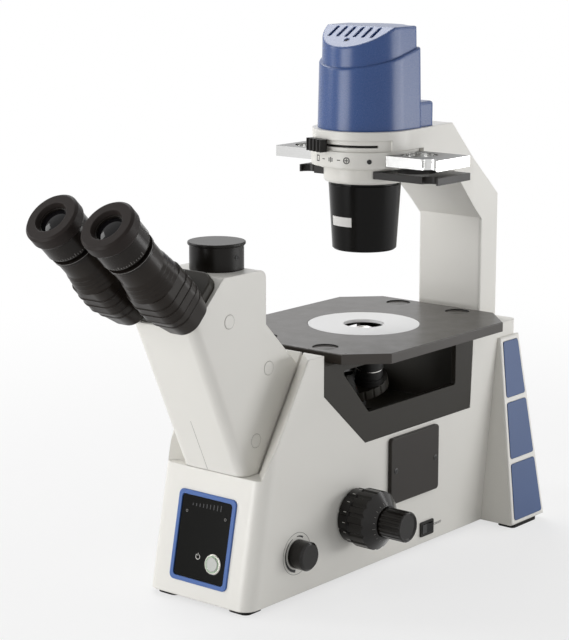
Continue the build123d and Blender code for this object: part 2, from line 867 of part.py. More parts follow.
def make_arm(side, ring_start):
    """One ocular arm: a ribbed prism case, a hinge ring on the spindle and a tube for the eyepiece."""
    with BuildPart() as arm:
        with BuildSketch(tube_plane.offset(arm_start)):
            arm_section(side, arm_start)
        with BuildSketch(tube_plane.offset(arm_straight)):
            arm_section(side, arm_straight)
        loft(ruled=True)
        with BuildSketch(tube_plane.offset(arm_straight)):
            arm_section(side, arm_straight)
        extrude(amount=arm_end - arm_straight)
        for i in range(arm_ribs):
            rib_start = arm_rib_start + i * arm_rib_pitch
            with BuildSketch(tube_plane.offset(rib_start)):
                arm_section(side, rib_start, arm_rib_proud)
            extrude(amount=arm_rib_thickness)
        for i in range(arm_ridge_count):
            with BuildSketch(tube_plane.offset(arm_end + i * arm_ridge_pitch)):
                with Locations((side * half_ipd, -tube_drop)):
                    Circle(arm_ridge_radius - i * arm_ridge_step)
            extrude(amount=arm_ridge_pitch, taper=arm_ridge_taper)
        with BuildSketch(tube_plane.offset(arm_end)):
            with Locations((side * half_ipd, -tube_drop)):
                Circle(eyetube_radius)
        extrude(amount=eyetube_end - arm_end)
        # Room for the other arm at both ends of the swing, and round the hinge
        far = half_ipd + tube_drop + 2 * arm_half
        other_side = [
            (0, 0),
            (side * far * sin(radians(close_angle)), -far * cos(radians(close_angle))),
            (-side * far, -far),
            (-side * far, far),
            (side * far * sin(radians(open_angle)), far * cos(radians(open_angle))),
        ]
        with BuildSketch(tube_plane):
            Polygon(*other_side, align=None)
        extrude(amount=eyetube_end, mode=Mode.SUBTRACT)
        with BuildSketch(tube_plane):
            Circle(hinge_ring_radius + swing_gap)
        extrude(amount=spindle_end + swing_gap, mode=Mode.SUBTRACT)
        with BuildSketch(tube_plane.offset(ring_start)):
            Circle(hinge_ring_radius + 3 * swing_gap)
            Polygon(*other_side, align=None, mode=Mode.SUBTRACT)
            Circle(hinge_ring_radius)
        extrude(amount=hinge_ring_thickness)
        with BuildSketch(tube_plane.offset(ring_start)):
            Circle(spindle_radius + running_fit)
        extrude(amount=hinge_ring_thickness, mode=Mode.SUBTRACT)
        # Bore of the eyepiece
        with BuildSketch(tube_plane.offset(eyetube_end)):
            with Locations((side * half_ipd, -tube_drop)):
                Circle(eyepiece_barrel_radius)
        extrude(amount=-eyepiece_barrel_length, mode=Mode.SUBTRACT)
    return arm


right_arm = make_arm(1, right_ring_start)
write(right_arm, "right_arm")
left_arm = make_arm(-1, left_ring_start)
write(left_arm, "left_arm")


def ocular_plane(side):
    """Plane through a tube's axis: X is the radius, Y runs along the axis, from the tube plane."""
    middle = tube_plane.from_local_coords((side * half_ipd, -tube_drop, 0))
    return Plane(origin=middle, x_dir=(1, 0, 0), z_dir=-tube_plane.y_dir)


def turn(plane, *profile):
    """Solid of revolution of a closed profile of (radius, along) about the plane's own Y axis."""
    with BuildPart() as turned:
        with BuildSketch(plane):
            with BuildLine():
                Polyline(*profile, close=True)
            make_face()
        revolve(axis=Axis(plane.origin, plane.y_dir))
    return turned


def domed_lens(plane, radius, flat, height):
    """Plano-convex lens on the plane's own Y axis: a flat face, a rim of half the height and a dome."""
    with BuildPart() as lens:
        with BuildSketch(plane):
            with BuildLine():
                Line((0, flat), (radius, flat))
                Line((radius, flat), (radius, flat + height / 2))
                SagittaArc((radius, flat + height / 2), (-radius, flat + height / 2), -height / 2)
                Line((-radius, flat + height / 2), (-radius, flat))
                Line((-radius, flat), (0, flat))
            make_face()
            split(bisect_by=Plane.YZ, keep=Keep.TOP)
        revolve(axis=Axis(plane.origin, plane.y_dir))
    return lens


diopter_start = eyetube_end + eyepiece_collar + ocular_groove
eyecup_start = diopter_end + swing_gap
lens_seat = eyepiece_top - eye_lens_thickness

for side, hand in ((1, "right"), (-1, "left")):
    axis_plane = ocular_plane(side)
    eyepiece = turn(
        axis_plane,
        (eyepiece_barrel_radius - eyepiece_wall, eyetube_end - eyepiece_barrel_length),
        (eyepiece_barrel_radius, eyetube_end - eyepiece_barrel_length),
        (eyepiece_barrel_radius, eyetube_end),
        (eyepiece_collar_radius, eyetube_end),
        (eyepiece_collar_radius, eyetube_end + eyepiece_collar),
        (eyepiece_body_radius, eyetube_end + eyepiece_collar),
        (eyepiece_body_radius, eyepiece_top),
        (eye_lens_radius, eyepiece_top),
        (eye_lens_radius, lens_seat),
        (eyepiece_barrel_radius - eyepiece_wall, lens_seat),
    )
    write(eyepiece, f"{hand}_eyepiece")
    diopter_ring = turn(
        axis_plane,
        (eyepiece_body_radius + running_fit, diopter_start),
        (diopter_radius - ocular_edge, diopter_start),
        (diopter_radius, diopter_start + ocular_bevel),
        (diopter_radius, diopter_end),
        (eyepiece_body_radius + running_fit, diopter_end),
    )
    write(diopter_ring, f"{hand}_diopter_ring")
    eyecup = turn(
        axis_plane,
        (eyepiece_body_radius, eyecup_start),
        (eyecup_radius - ocular_edge, eyecup_start),
        (eyecup_radius, eyecup_start + ocular_bevel),
        (eyecup_radius, eyecup_end - ocular_bevel),
        (eyecup_radius - ocular_bevel, eyecup_end),
        (eyecup_mouth_radius, eyecup_end),
        (eye_lens_radius + ocular_edge, eyepiece_top),
        (eyepiece_body_radius, eyepiece_top),
    )
    write(eyecup, f"{hand}_eyecup")
    eye_lens = domed_lens(axis_plane, eye_lens_radius, lens_seat, eye_lens_thickness)
    write(eye_lens, f"{hand}_eye_lens")

# Mirrors of the light path and their posts on the base plate


def mirror_strip(middle, along, offset):
    """Two ends of a mirror's line in the YZ plane, moved off its face by an offset."""
    half = mirror_length / 2
    out = (-along[1] * offset, along[0] * offset)
    return [
        (middle[0] - along[0] * half + out[0], middle[1] - along[1] * half + out[1]),
        (middle[0] + along[0] * half + out[0], middle[1] + along[1] * half + out[1]),
    ]


# The rear mirror turns the light forward, the front mirror turns it up the neck
rear_along = (sin(radians(45)), cos(radians(45)))
front_normal = Vector(0, 1 + light_up.Y, light_up.Z).normalized()
front_along = (front_normal.Z, -front_normal.Y)
mirror_places = [((0.0, mirror_height), rear_along), ((front_mirror_y, mirror_height), front_along)]

with BuildPart() as relay_mirrors:
    for middle, along in mirror_places:
        with BuildSketch(Plane.YZ):
            with BuildLine():
                face_line = mirror_strip(middle, along, 0.0)
                back_line = mirror_strip(middle, along, -mirror_thickness)
                Polyline(face_line[0], face_line[1], back_line[1], back_line[0], close=True)
            make_face()
        extrude(amount=mirror_width / 2, both=True)
write(relay_mirrors, "relay_mirrors")

with BuildPart() as mirror_posts:
    for middle, along in mirror_places:
        with BuildSketch(Plane.YZ):
            with BuildLine():
                back_line = mirror_strip(middle, along, -mirror_thickness)
                low = min(back_line[0][1], back_line[1][1]) - mirror_thickness
                Polyline(
                    back_line[0],
                    back_line[1],
                    (back_line[1][0], low),
                    (middle[0] + mirror_length / 4, low),
                    (middle[0] + mirror_length / 4, plate_top),
                    (middle[0] - mirror_length / 4, plate_top),
                    (middle[0] - mirror_length / 4, low),
                    (back_line[0][0], low),
                    close=True,
                )
            make_face()
        extrude(amount=mirror_width / 2, both=True)
write(mirror_posts, "mirror_posts")

# Front panel with its button

with BuildPart() as front_bezel:
    with BuildSketch(front_plane):
        RectangleRounded(
            panel_width + 2 * bezel_width, panel_length + 2 * bezel_width, panel_radius + bezel_width / 2
        )
        RectangleRounded(panel_width + 2 * seam, panel_length + 2 * seam, panel_radius + seam, mode=Mode.SUBTRACT)
    extrude(amount=bezel_thickness)
    bezel_rim = front_bezel.faces().sort_by(Axis(front_plane.origin, front_plane.z_dir))[-1]
    chamfer(bezel_rim.outer_wire().edges(), bezel_thickness / 3)
write(front_bezel, "front_bezel")

with BuildPart() as front_panel:
    with BuildSketch(front_plane.offset(-panel_pocket)):
        RectangleRounded(panel_width, panel_length, panel_radius)
        with Locations((button_x, button_up)):
            Circle(button_sleeve_radius, mode=Mode.SUBTRACT)
    extrude(amount=panel_thickness)
write(front_panel, "front_panel")

panel_face = front_plane.offset(panel_thickness - panel_pocket)

with BuildPart() as button_ring:
    with BuildSketch(panel_face):
        with Locations((button_x, button_up)):
            Circle(button_ring_radius)
    extrude(amount=button_ring_proud)
    panel_axis = Axis(panel_face.origin, panel_face.z_dir)
    outer_rim = button_ring.edges().filter_by(GeomType.CIRCLE).sort_by(panel_axis)[-1]
    chamfer(outer_rim, button_ring_proud / 2)
    with BuildSketch(panel_face):
        with Locations((button_x, button_up)):
            Circle(button_sleeve_radius)
    extrude(amount=-button_sleeve_length)
    with BuildSketch(panel_face.offset(button_ring_proud)):
        with Locations((button_x, button_up)):
            Circle(button_radius + running_fit)
    extrude(amount=-button_ring_proud - button_sleeve_length, mode=Mode.SUBTRACT)
write(button_ring, "button_ring")

with BuildPart() as power_button:
    with BuildSketch(panel_face.offset(button_ring_proud + button_proud)):
        with Locations((button_x, button_up)):
            Circle(button_radius)
    extrude(amount=-button_length)
    fillet(power_button.edges().group_by(panel_axis)[-1], button_proud / 2)
write(power_button, "power_button")

# Brightness knob


def axle_plane(y, z):
    """Plane through an axle along X: its own X is the radius, its own Y runs along +X from the middle."""
    return Plane(origin=(0, y, z), x_dir=(0, 1, 0), z_dir=(0, 0, -1))


brightness_knob = turn(
    axle_plane(dimmer_y, dimmer_z),
    (0, base_half_width - dimmer_shaft_length),
    (dimmer_shaft_radius, base_half_width - dimmer_shaft_length),
    (dimmer_shaft_radius, base_half_width + swing_gap),
    (dimmer_radius, base_half_width + swing_gap),
    (dimmer_radius, base_half_width + dimmer_length - dimmer_edge),
    (dimmer_radius - dimmer_edge, base_half_width + dimmer_length),
    (0, base_half_width + dimmer_length),
)
write(brightness_knob, "brightness_knob")

# Rocker switch

rocker_cavity_length = rocker_length + 4 * swing_gap
rocker_cavity_width = rocker_width + 2 * swing_gap
rocker_pivot_x = base_half_width - rocker_depth / 2

with BuildPart() as rocker_frame:
    with BuildSketch(side_plane(base_half_width, rocker_y, rocker_z)):
        RectangleRounded(rocker_frame_length, rocker_frame_width, rocker_frame_proud)
    extrude(amount=rocker_frame_proud)
    with BuildSketch(side_plane(base_half_width, rocker_y, rocker_z)):
        Rectangle(rocker_frame_length - rocker_rim - seam, rocker_frame_width - rocker_rim - seam)
    extrude(amount=-rocker_body_depth)
    with BuildSketch(side_plane(base_half_width + rocker_frame_proud, rocker_y, rocker_z)):
        Rectangle(rocker_cavity_length, rocker_cavity_width)
    extrude(amount=-rocker_frame_proud - 2 * rocker_depth, mode=Mode.SUBTRACT)
    with BuildSketch(Plane.XY.offset(rocker_z)):
        with Locations((rocker_pivot_x, rocker_y)):
            Circle(rocker_pin_radius + running_fit)
    extrude(amount=rocker_cavity_width / 2 + rocker_pin_reach, both=True, mode=Mode.SUBTRACT)
write(rocker_frame, "rocker_frame")

with BuildPart() as rocker:
    # Drawn about its pivot and tipped to one of its two resting places
    rocker_rest = Location((rocker_pivot_x, rocker_y, rocker_z), (0, 0, -rocker_tilt))
    rocker_foot = -rocker_depth / 2
    rocker_face = rocker_depth / 2 + rocker_proud
    with BuildSketch(Plane(rocker_rest)):
        Polygon(
            (rocker_foot, -rocker_length / 4),
            (rocker_depth / 2, -rocker_length / 2),
            (rocker_face, -rocker_length / 2),
            (rocker_face - rocker_proud / 2, 0),
            (rocker_face, rocker_length / 2),
            (rocker_depth / 2, rocker_length / 2),
            (rocker_foot, rocker_length / 4),
            align=None,
        )
    extrude(amount=rocker_width / 2, both=True)
    with BuildSketch(Plane(rocker_rest)):
        Circle(rocker_pin_radius)
    extrude(amount=rocker_cavity_width / 2 + rocker_pin_reach - swing_gap, both=True)
write(rocker, "rocker")

# Side cover

with BuildPart() as side_cover:
    with BuildSketch(side_plane(base_half_width, cover_y, cover_z)):
        RectangleRounded(cover_length, cover_height, cover_radius)
    extrude(amount=cover_thickness)
    fillet(side_cover.faces().sort_by(Axis.X)[-1].edges(), cover_thickness / 4)
write(side_cover, "side_cover")

# Stage bracket: a black trough in the notch of the base, with a window in each side

bracket_floor = notch_floor + bracket_wall
inside_front = notch_front + bracket_front_wall
inside_knee = notch_knee + bracket_wall
post_rear = post_front + post_depth

with BuildPart() as stage_bracket:
    with BuildSketch(Plane.YZ):
        with BuildLine():
            Polyline(
                (notch_front + seam, bracket_top),
                *notch_points(seam),
                (notch_rear - seam, bracket_top),
                close=True,
            )
        make_face()
    extrude(amount=base_half_width, both=True)
    lower_rear = stage_bracket.edges().filter_by(Axis.X).group_by(Axis.Z)[0].sort_by(Axis.Y)[-1]
    fillet(lower_rear, bracket_wall)
    with BuildSketch(Plane.YZ):
        with BuildLine():
            Polyline(
                (inside_front, bracket_top),
                (inside_front, inside_knee),
                (inside_front + (inside_knee - bracket_floor) * diagonal_run, bracket_floor),
                (notch_floor_rear - bracket_wall, bracket_floor),
                (notch_rear - bracket_wall, bracket_top),
                close=True,
            )
        make_face()
    extrude(amount=base_half_width - bracket_wall, both=True, mode=Mode.SUBTRACT)
    window_top = bracket_top - window_lintel
    window_bottom = notch_floor + window_sill
    with BuildSketch(Plane.YZ) as window:
        with BuildLine():
            Polyline(
                (notch_front + window_front, window_top),
                (notch_front + window_front + (window_top - window_bottom) * window_run, window_bottom),
                (notch_rear - window_rear, window_bottom),
                (notch_rear - window_rear, window_top),
                close=True,
            )
        make_face()
        fillet(window.vertices(), window_corner_radius)
    extrude(amount=base_half_width, both=True, mode=Mode.SUBTRACT)
    # Light hole and passage of the carriage post in the floor
    with BuildSketch(Plane.XY.offset(notch_floor)):
        Circle(light_radius)
        with Locations((0, (post_front + post_rear) / 2)):
            Rectangle(2 * post_half_width + post_clearance, post_depth + post_clearance)
    extrude(amount=bracket_wall, mode=Mode.SUBTRACT)
write(stage_bracket, "stage_bracket")

# Stage plate and glass insert

with BuildPart() as stage_plate:
    with BuildSketch(Plane.XY.offset(stage_bottom)) as stage_outline:
        Rectangle(2 * stage_half_width, 2 * stage_half_length)
        chamfer(stage_outline.vertices(), stage_chamfer)
    extrude(amount=stage_thickness)
    chamfer(stage_plate.faces().sort_by(Axis.Z)[-1].edges(), stage_edge)
    with BuildSketch(Plane.XY.offset(stage_bottom)):
        Circle(insert_radius - insert_ledge)
    extrude(amount=stage_thickness, mode=Mode.SUBTRACT)
    swing_rim = stage_plate.edges().filter_by(GeomType.CIRCLE).sort_by(Axis.Z)[0]
    chamfer(swing_rim, swing_relief)
    with BuildSketch(Plane.XY.offset(stage_top)):
        Circle(insert_radius + swing_gap)
    extrude(amount=-insert_thickness, mode=Mode.SUBTRACT)
    with BuildSketch(Plane.XY.offset(stage_top)):
        with GridLocations(plug_spacing_x, plug_spacing_y, 2, 2):
            Circle(plug_recess_radius)
    extrude(amount=-plug_recess_depth, mode=Mode.SUBTRACT)
write(stage_plate, "stage_plate")

with BuildPart() as stage_insert:
    with BuildSketch(Plane.XY.offset(stage_top - insert_thickness)):
        Circle(insert_radius)
        Circle(insert_hole_radius, mode=Mode.SUBTRACT)
    extrude(amount=insert_thickness)
write(stage_insert, "stage_insert")

# Column with its arm and the ring-shaped head at its front

with BuildPart() as illumination_arm:
    with BuildSketch(Plane.YZ):
        with BuildLine():
            Polyline(
                (column_rear, rear_block_top),
                (column_rear, column_rear_knee),
                (arm_top_rear, arm_top),
                (-head_radius, arm_top),
                (-head_radius, head_bottom),
                (carrier_wrap, head_bottom),
                (carrier_wrap, arm_underside),
                (column_front - (arm_underside - column_inner_knee), arm_underside),
                (column_front, column_inner_knee),
                (column_front, rear_block_top),
                close=True,
            )
        make_face()
    extrude(amount=head_radius, both=True)
    with BuildSketch(Plane.XY.offset(rear_block_top)):
        Circle(head_radius)
        with BuildLine():
            Polyline(
                (-head_radius, 0),
                (head_radius, 0),
                (column_half_width, arm_taper_end),
                (column_half_width, column_rear),
                (-column_half_width, column_rear),
                (-column_half_width, arm_taper_end),
                close=True,
            )
        make_face()
    extrude(amount=arm_top - rear_block_top, mode=Mode.INTERSECT)
    column_edges = illumination_arm.edges().filter_by(Axis.Z).filter_by_position(
        Axis.Y, column_front - 1, column_rear + 1
    )
    fillet(column_edges, column_edge_radius)
    # Room for the carrier and the iris, the light bore and the seat of the collector lens
    with BuildSketch(Plane.XY.offset(arm_underside)):
        Circle(carrier_radius + seam)
    extrude(amount=head_bottom - arm_underside, mode=Mode.SUBTRACT)
    with BuildSketch(Plane.XY.offset(head_bottom)):
        Circle(iris_cavity_radius)
    extrude(amount=iris_cavity_top - head_bottom, mode=Mode.SUBTRACT)
    with BuildSketch(Plane.XY.offset(head_bottom)):
        Circle(head_bore_radius)
    extrude(amount=arm_top - head_bottom, mode=Mode.SUBTRACT)
    with BuildSketch(Plane.XY.offset(arm_top)):
        Circle(collector_radius)
    extrude(amount=-collector_seat, mode=Mode.SUBTRACT)
    # Recessed front band with the slot of the aperture lever
    with BuildSketch(Plane.XY.offset(head_bottom)):
        with Locations((0, head_recess_side - head_radius)):
            Rectangle(4 * head_radius, 2 * head_radius)
        Circle(head_recess_radius, mode=Mode.SUBTRACT)
    extrude(amount=head_recess_top - head_bottom, mode=Mode.SUBTRACT)
    slot_reach = 2 * head_radius
    with BuildSketch(Plane.XY.offset(iris_slot_bottom)):
        with BuildLine():
            Polyline(
                (0, 0),
                (slot_reach * sin(radians(iris_slot_angle)), -slot_reach * cos(radians(iris_slot_angle))),
                (0, -2 * slot_reach),
                (-slot_reach * sin(radians(iris_slot_angle)), -slot_reach * cos(radians(iris_slot_angle))),
                close=True,
            )
        make_face()
    extrude(amount=iris_slot_top - iris_slot_bottom, mode=Mode.SUBTRACT)
write(illumination_arm, "illumination_arm")

# Aperture ring with its lever

lever_plane = Plane.XY.rotated((0, 0, lever_angle))
lever_start = carrier_radius + swing_gap
lever_middle = (iris_slot_bottom + iris_slot_top) / 2

with BuildPart() as aperture_ring:
    with BuildSketch(Plane.XY.offset(lever_middle - iris_ring_thickness / 2)):
        Circle(iris_cavity_radius - swing_gap)
        Circle(iris_ring_bore, mode=Mode.SUBTRACT)
    extrude(amount=iris_ring_thickness)
    with BuildSketch(lever_plane.offset(lever_middle - iris_ring_thickness / 2)):
        with Locations((0, -(iris_ring_bore + lever_reach) / 2)):
            Rectangle(lever_stem, lever_reach - iris_ring_bore - lever_stem)
    extrude(amount=iris_ring_thickness)
    with BuildSketch(lever_plane.offset(lever_middle - lever_height / 2)):
        with Locations((0, -(lever_start + lever_reach) / 2)):
            Rectangle(lever_width, lever_reach - lever_start)
        with Locations((0, -lever_reach)):
            with GridLocations(lever_width / lever_ribs, 0, lever_ribs, 1):
                Circle(lever_width / lever_ribs / 3, mode=Mode.SUBTRACT)
    extrude(amount=lever_height)
write(aperture_ring, "aperture_ring")

# Condenser carrier, sliders, slider ring and condenser cup


def slider_channel(bottom, thickness):
    """Straight channel for a slider, through the whole piece along X."""
    with BuildPart() as channel:
        with BuildSketch(Plane.YZ):
            with Locations((0, bottom + thickness / 2)):
                Rectangle(2 * (slider_half_width + sliding_fit), thickness + 2 * sliding_fit)
        extrude(amount=2 * carrier_radius, both=True)
    return channel.part


with BuildPart() as condenser_carrier:
    with BuildSketch(Plane.XY.offset(arm_underside)):
        Circle(carrier_radius)
        Circle(light_bore_radius, mode=Mode.SUBTRACT)
    extrude(amount=head_bottom - arm_underside)
    add(slider_channel(upper_slider_bottom, upper_slider_thickness), mode=Mode.SUBTRACT)
write(condenser_carrier, "condenser_carrier")

with BuildPart() as upper_slider:
    with BuildSketch(Plane.XY.offset(upper_slider_bottom)):
        with Locations(((upper_slider_left + upper_slider_right) / 2, 0)):
            Rectangle(upper_slider_right - upper_slider_left, 2 * slider_half_width)
        with GridLocations(upper_slider_pitch, 0, 3, 1):
            Circle(upper_slider_hole, mode=Mode.SUBTRACT)
        with Locations((upper_slider_right - slider_notch_inset, -slider_half_width)):
            Circle(slider_notch_radius, mode=Mode.SUBTRACT)
    extrude(amount=upper_slider_thickness)
write(upper_slider, "upper_slider")

with BuildPart() as slider_ring:
    with BuildSketch(Plane.XY.offset(ring_bottom)):
        Circle(ring_radius)
    extrude(amount=ring_step - ring_bottom)
    fillet(slider_ring.edges().group_by(Axis.Z)[0], ring_edge_radius)
    with BuildSketch(Plane.XY.offset(ring_step)):
        Circle(ring_step_radius)
    extrude(amount=arm_underside - ring_step)
    with BuildSketch(Plane.XY.offset(ring_bottom)):
        Circle(light_bore_radius)
    extrude(amount=arm_underside - ring_bottom, mode=Mode.SUBTRACT)
    add(slider_channel(lower_slider_bottom, lower_slider_thickness), mode=Mode.SUBTRACT)
write(slider_ring, "slider_ring")

with BuildPart() as lower_slider:
    with BuildSketch(Plane.XY.offset(lower_slider_bottom)):
        with Locations(((lower_slider_left + lower_slider_right) / 2, 0)):
            Rectangle(lower_slider_right - lower_slider_left, 2 * slider_half_width)
        with Locations((0, 0), (lower_slider_pitch, 0)):
            Circle(lower_slider_hole, mode=Mode.SUBTRACT)
        for notch_x in (lower_slider_right - slider_notch_inset, lower_slider_left + slider_notch_inset):
            with Locations((notch_x, -slider_half_width)):
                Circle(slider_notch_radius, mode=Mode.SUBTRACT)
    extrude(amount=lower_slider_thickness)
write(lower_slider, "lower_slider")

lens_bottom = cup_bottom + cup_edge
lens_top = lens_bottom + condenser_lens_thickness
condenser_lens_radius = cup_bottom_radius - cup_wall

condenser_cup = turn(
    Plane.XZ,
    (condenser_lens_radius, cup_bottom),
    (cup_bottom_radius - cup_edge, cup_bottom),
    (cup_bottom_radius, lens_bottom),
    (cup_top_radius, cup_top),
    (cup_neck_radius, cup_top),
    (cup_neck_radius, ring_bottom),
    (light_bore_radius, ring_bottom),
    (light_bore_radius, lens_top),
    (condenser_lens_radius, lens_top),
)
write(condenser_cup, "condenser_cup")


condenser_lens = domed_lens(Plane.XZ, condenser_lens_radius, lens_bottom, condenser_lens_thickness)
write(condenser_lens, "condenser_lens")

# Lamp housing with the lamp inside


def lamp_block(inset, top, top_plane, edge_radius=0.0):
    """Tapered block on the U-shaped plan of the lamp, drawn in by an inset, cut by a plane, its top rounded."""
    radius = lamp_radius - inset
    with BuildPart() as block:
        with BuildSketch(Plane.XY.offset(arm_top)) as plan:
            Circle(radius)
            with Locations((0, (lamp_rear - inset) / 2)):
                Rectangle(2 * radius, lamp_rear - inset)
            fillet(plan.vertices().group_by(Axis.Y)[-1], lamp_corner_radius)
        extrude(amount=top - arm_top, taper=lamp_taper)
        split(bisect_by=top_plane, keep=Keep.BOTTOM)
        if edge_radius > 0:
            crown = block.faces().filter_by(lambda face: face.normal_at().Z > lamp_upward)
            fillet(crown.edges(), edge_radius)
    return block.part


step_plane = Plane(
    origin=(0, -lamp_radius, lamp_step_front),
    x_dir=(1, 0, 0),
    z_dir=(0, lamp_step_front - lamp_step_rear, lamp_radius + lamp_rear),
)
slope_plane = Plane(
    origin=(0, lamp_top_break, lamp_top),
    x_dir=(1, 0, 0),
    z_dir=(0, lamp_top_front - lamp_top, lamp_radius + lamp_top_break),
)

with BuildPart() as lamp_ledge:
    with BuildSketch(Plane.XY.offset(arm_top)):
        with Locations((0, lamp_ledge_rear / 2)):
            Rectangle(2 * lamp_radius - 2 * lamp_wall, lamp_ledge_rear)
    extrude(amount=lamp_ledge_top - arm_top)
    fillet(lamp_ledge.edges().filter_by(Axis.Z).group_by(Axis.Y)[-1], lamp_corner_radius)
    ledge_rim = lamp_ledge.faces().sort_by(Axis.Z)[-1].edges().sort_by(Axis.Y)[1:]
    fillet(ledge_rim, lamp_wall)

with BuildPart() as lamp_housing:
    add(lamp_block(0.0, lamp_top, step_plane, lamp_edge_radius))
    add(lamp_block(lamp_inset, lamp_top, slope_plane, lamp_edge_radius))
    add(lamp_ledge.part)
    inside_top = slope_plane.offset(-lamp_wall)
    add(lamp_block(lamp_inset + lamp_wall, lamp_top - lamp_wall, inside_top), mode=Mode.SUBTRACT)
    with BuildSketch(slope_plane):
        with Locations((0, -lamp_slot_length / 2 - lamp_slot_drop)):
            with GridLocations(lamp_slot_pitch, 0, lamp_slots, 1):
                SlotOverall(lamp_slot_length, lamp_slot_width, rotation=90)
        with Locations((0, -lamp_screw_drop)):
            Circle(lamp_screw_radius)
    extrude(amount=-2 * lamp_wall, mode=Mode.SUBTRACT)
write(lamp_housing, "lamp_housing")

with BuildPart() as led_module:
    with BuildSketch(Plane.XY.offset(arm_top)):
        Circle(led_radius)
        Circle(led_window_radius, mode=Mode.SUBTRACT)
    extrude(amount=led_thickness)
write(led_module, "led_module")

with BuildPart() as heat_sink:
    with BuildSketch(Plane.XY.offset(arm_top + led_thickness)):
        Circle(sink_radius)
    extrude(amount=sink_height)
    fin_pitch = (2 * sink_radius - sink_fin_thickness) / (sink_fins - 1)
    with BuildSketch(Plane.XY.offset(arm_top + led_thickness + sink_base)):
        with GridLocations(fin_pitch, 0, sink_fins - 1, 1):
            Rectangle(fin_pitch - sink_fin_thickness, 2 * sink_radius)
    extrude(amount=sink_height - sink_base, mode=Mode.SUBTRACT)
write(heat_sink, "heat_sink")

collector_lens = domed_lens(Plane.XZ, collector_radius, arm_top - collector_seat, collector_seat)
write(collector_lens, "collector_lens")

# Focus drive: bearings, pinion shaft, knobs, tension ring

focus_axle = axle_plane(focus_y, focus_z)
pitch_radius = gear_module * pinion_teeth / 2
pinion_root = pitch_radius - tooth_dedendum
pinion_tip = pitch_radius + tooth_addendum
pinion_start = pinion_x - pinion_width / 2
pinion_end = pinion_x + pinion_width / 2
ring_start_x = base_half_width + swing_gap

with BuildPart() as focus_bearings:
    for side in (1, -1):
        with BuildSketch(side_plane(side * bearing_inner, focus_y, focus_z)):
            Circle(bearing_radius)
        extrude(amount=side * (bearing_outer - bearing_inner))
    with BuildSketch(side_plane(-base_half_width, focus_y, focus_z)):
        Circle(left_collar_radius)
    extrude(amount=base_half_width - bearing_outer)
    with BuildSketch(side_plane(0, focus_y, focus_z)):
        Circle(shaft_radius + running_fit)
    extrude(amount=bearing_outer, both=True, mode=Mode.SUBTRACT)
write(focus_bearings, "focus_bearings")

with BuildPart() as pinion_shaft:
    with BuildSketch(focus_axle):
        with BuildLine():
            Polyline(
                (fine_shaft_radius + running_fit, -coarse_end),
                (shaft_radius, -coarse_end),
                (shaft_radius, -bearing_inner),
                (shaft_waist_radius, -bearing_inner),
                (shaft_waist_radius, pinion_start),
                (pinion_root, pinion_start),
                (pinion_root, pinion_end),
                (shaft_waist_radius, pinion_end),
                (shaft_waist_radius, bearing_inner),
                (shaft_radius, bearing_inner),
                (shaft_radius, coarse_end),
                (fine_shaft_radius + running_fit, coarse_end),
                close=True,
            )
        make_face()
    revolve(axis=Axis(focus_axle.origin, focus_axle.y_dir))
    with BuildSketch(side_plane(pinion_start, focus_y, focus_z)):
        with PolarLocations(0, pinion_teeth):
            Polygon(
                (pinion_root - tooth_tip_half, -tooth_root_half),
                (pinion_tip, -tooth_tip_half),
                (pinion_tip, tooth_tip_half),
                (pinion_root - tooth_tip_half, tooth_root_half),
                align=None,
            )
    extrude(amount=pinion_width)
write(pinion_shaft, "pinion_shaft")

with BuildPart() as coarse_knobs:
    with BuildSketch(focus_axle):
        with BuildLine():
            Polyline(
                (shaft_radius, coarse_start),
                (coarse_radius - coarse_edge, coarse_start),
                (coarse_radius, coarse_start + coarse_edge),
                (coarse_radius, coarse_cone_start),
                (coarse_face_radius, coarse_end),
                (shaft_radius, coarse_end),
                close=True,
            )
        make_face()
    revolve(axis=Axis(focus_axle.origin, focus_axle.y_dir))
    with BuildSketch(side_plane(coarse_start + coarse_edge, focus_y, focus_z)):
        with PolarLocations(coarse_radius + coarse_flute_radius / 2, coarse_lobes):
            Circle(coarse_flute_radius)
    extrude(amount=coarse_end - coarse_start, mode=Mode.SUBTRACT)
    mirror(about=Plane.YZ)
write(coarse_knobs, "coarse_knobs")

with BuildPart() as fine_shaft:
    with BuildSketch(side_plane(0, focus_y, focus_z)):
        Circle(fine_shaft_radius)
    extrude(amount=fine_shaft_end, both=True)
write(fine_shaft, "fine_shaft")

with BuildPart() as fine_knobs:
    with BuildSketch(focus_axle):
        with BuildLine():
            Polyline(
                (fine_shaft_radius, fine_start),
                (fine_radius, fine_start),
                (fine_radius, fine_end - coarse_edge),
                (fine_radius - coarse_edge, fine_end),
                (fine_radius - 2 * coarse_edge, fine_end),
                (fine_radius - 3 * coarse_edge, fine_end - fine_dish_depth),
                (0, fine_end - fine_dish_depth),
                (0, fine_shaft_end),
                (fine_shaft_radius, fine_shaft_end),
                close=True,
            )
        make_face()
    revolve(axis=Axis(focus_axle.origin, focus_axle.y_dir))
    with BuildSketch(side_plane(fine_start, focus_y, focus_z)):
        with PolarLocations(fine_radius + fine_flute_radius / 4, fine_flutes):
            Circle(fine_flute_radius)
    extrude(amount=fine_end - fine_start, mode=Mode.SUBTRACT)
    mirror(about=Plane.YZ)
write(fine_knobs, "fine_knobs")

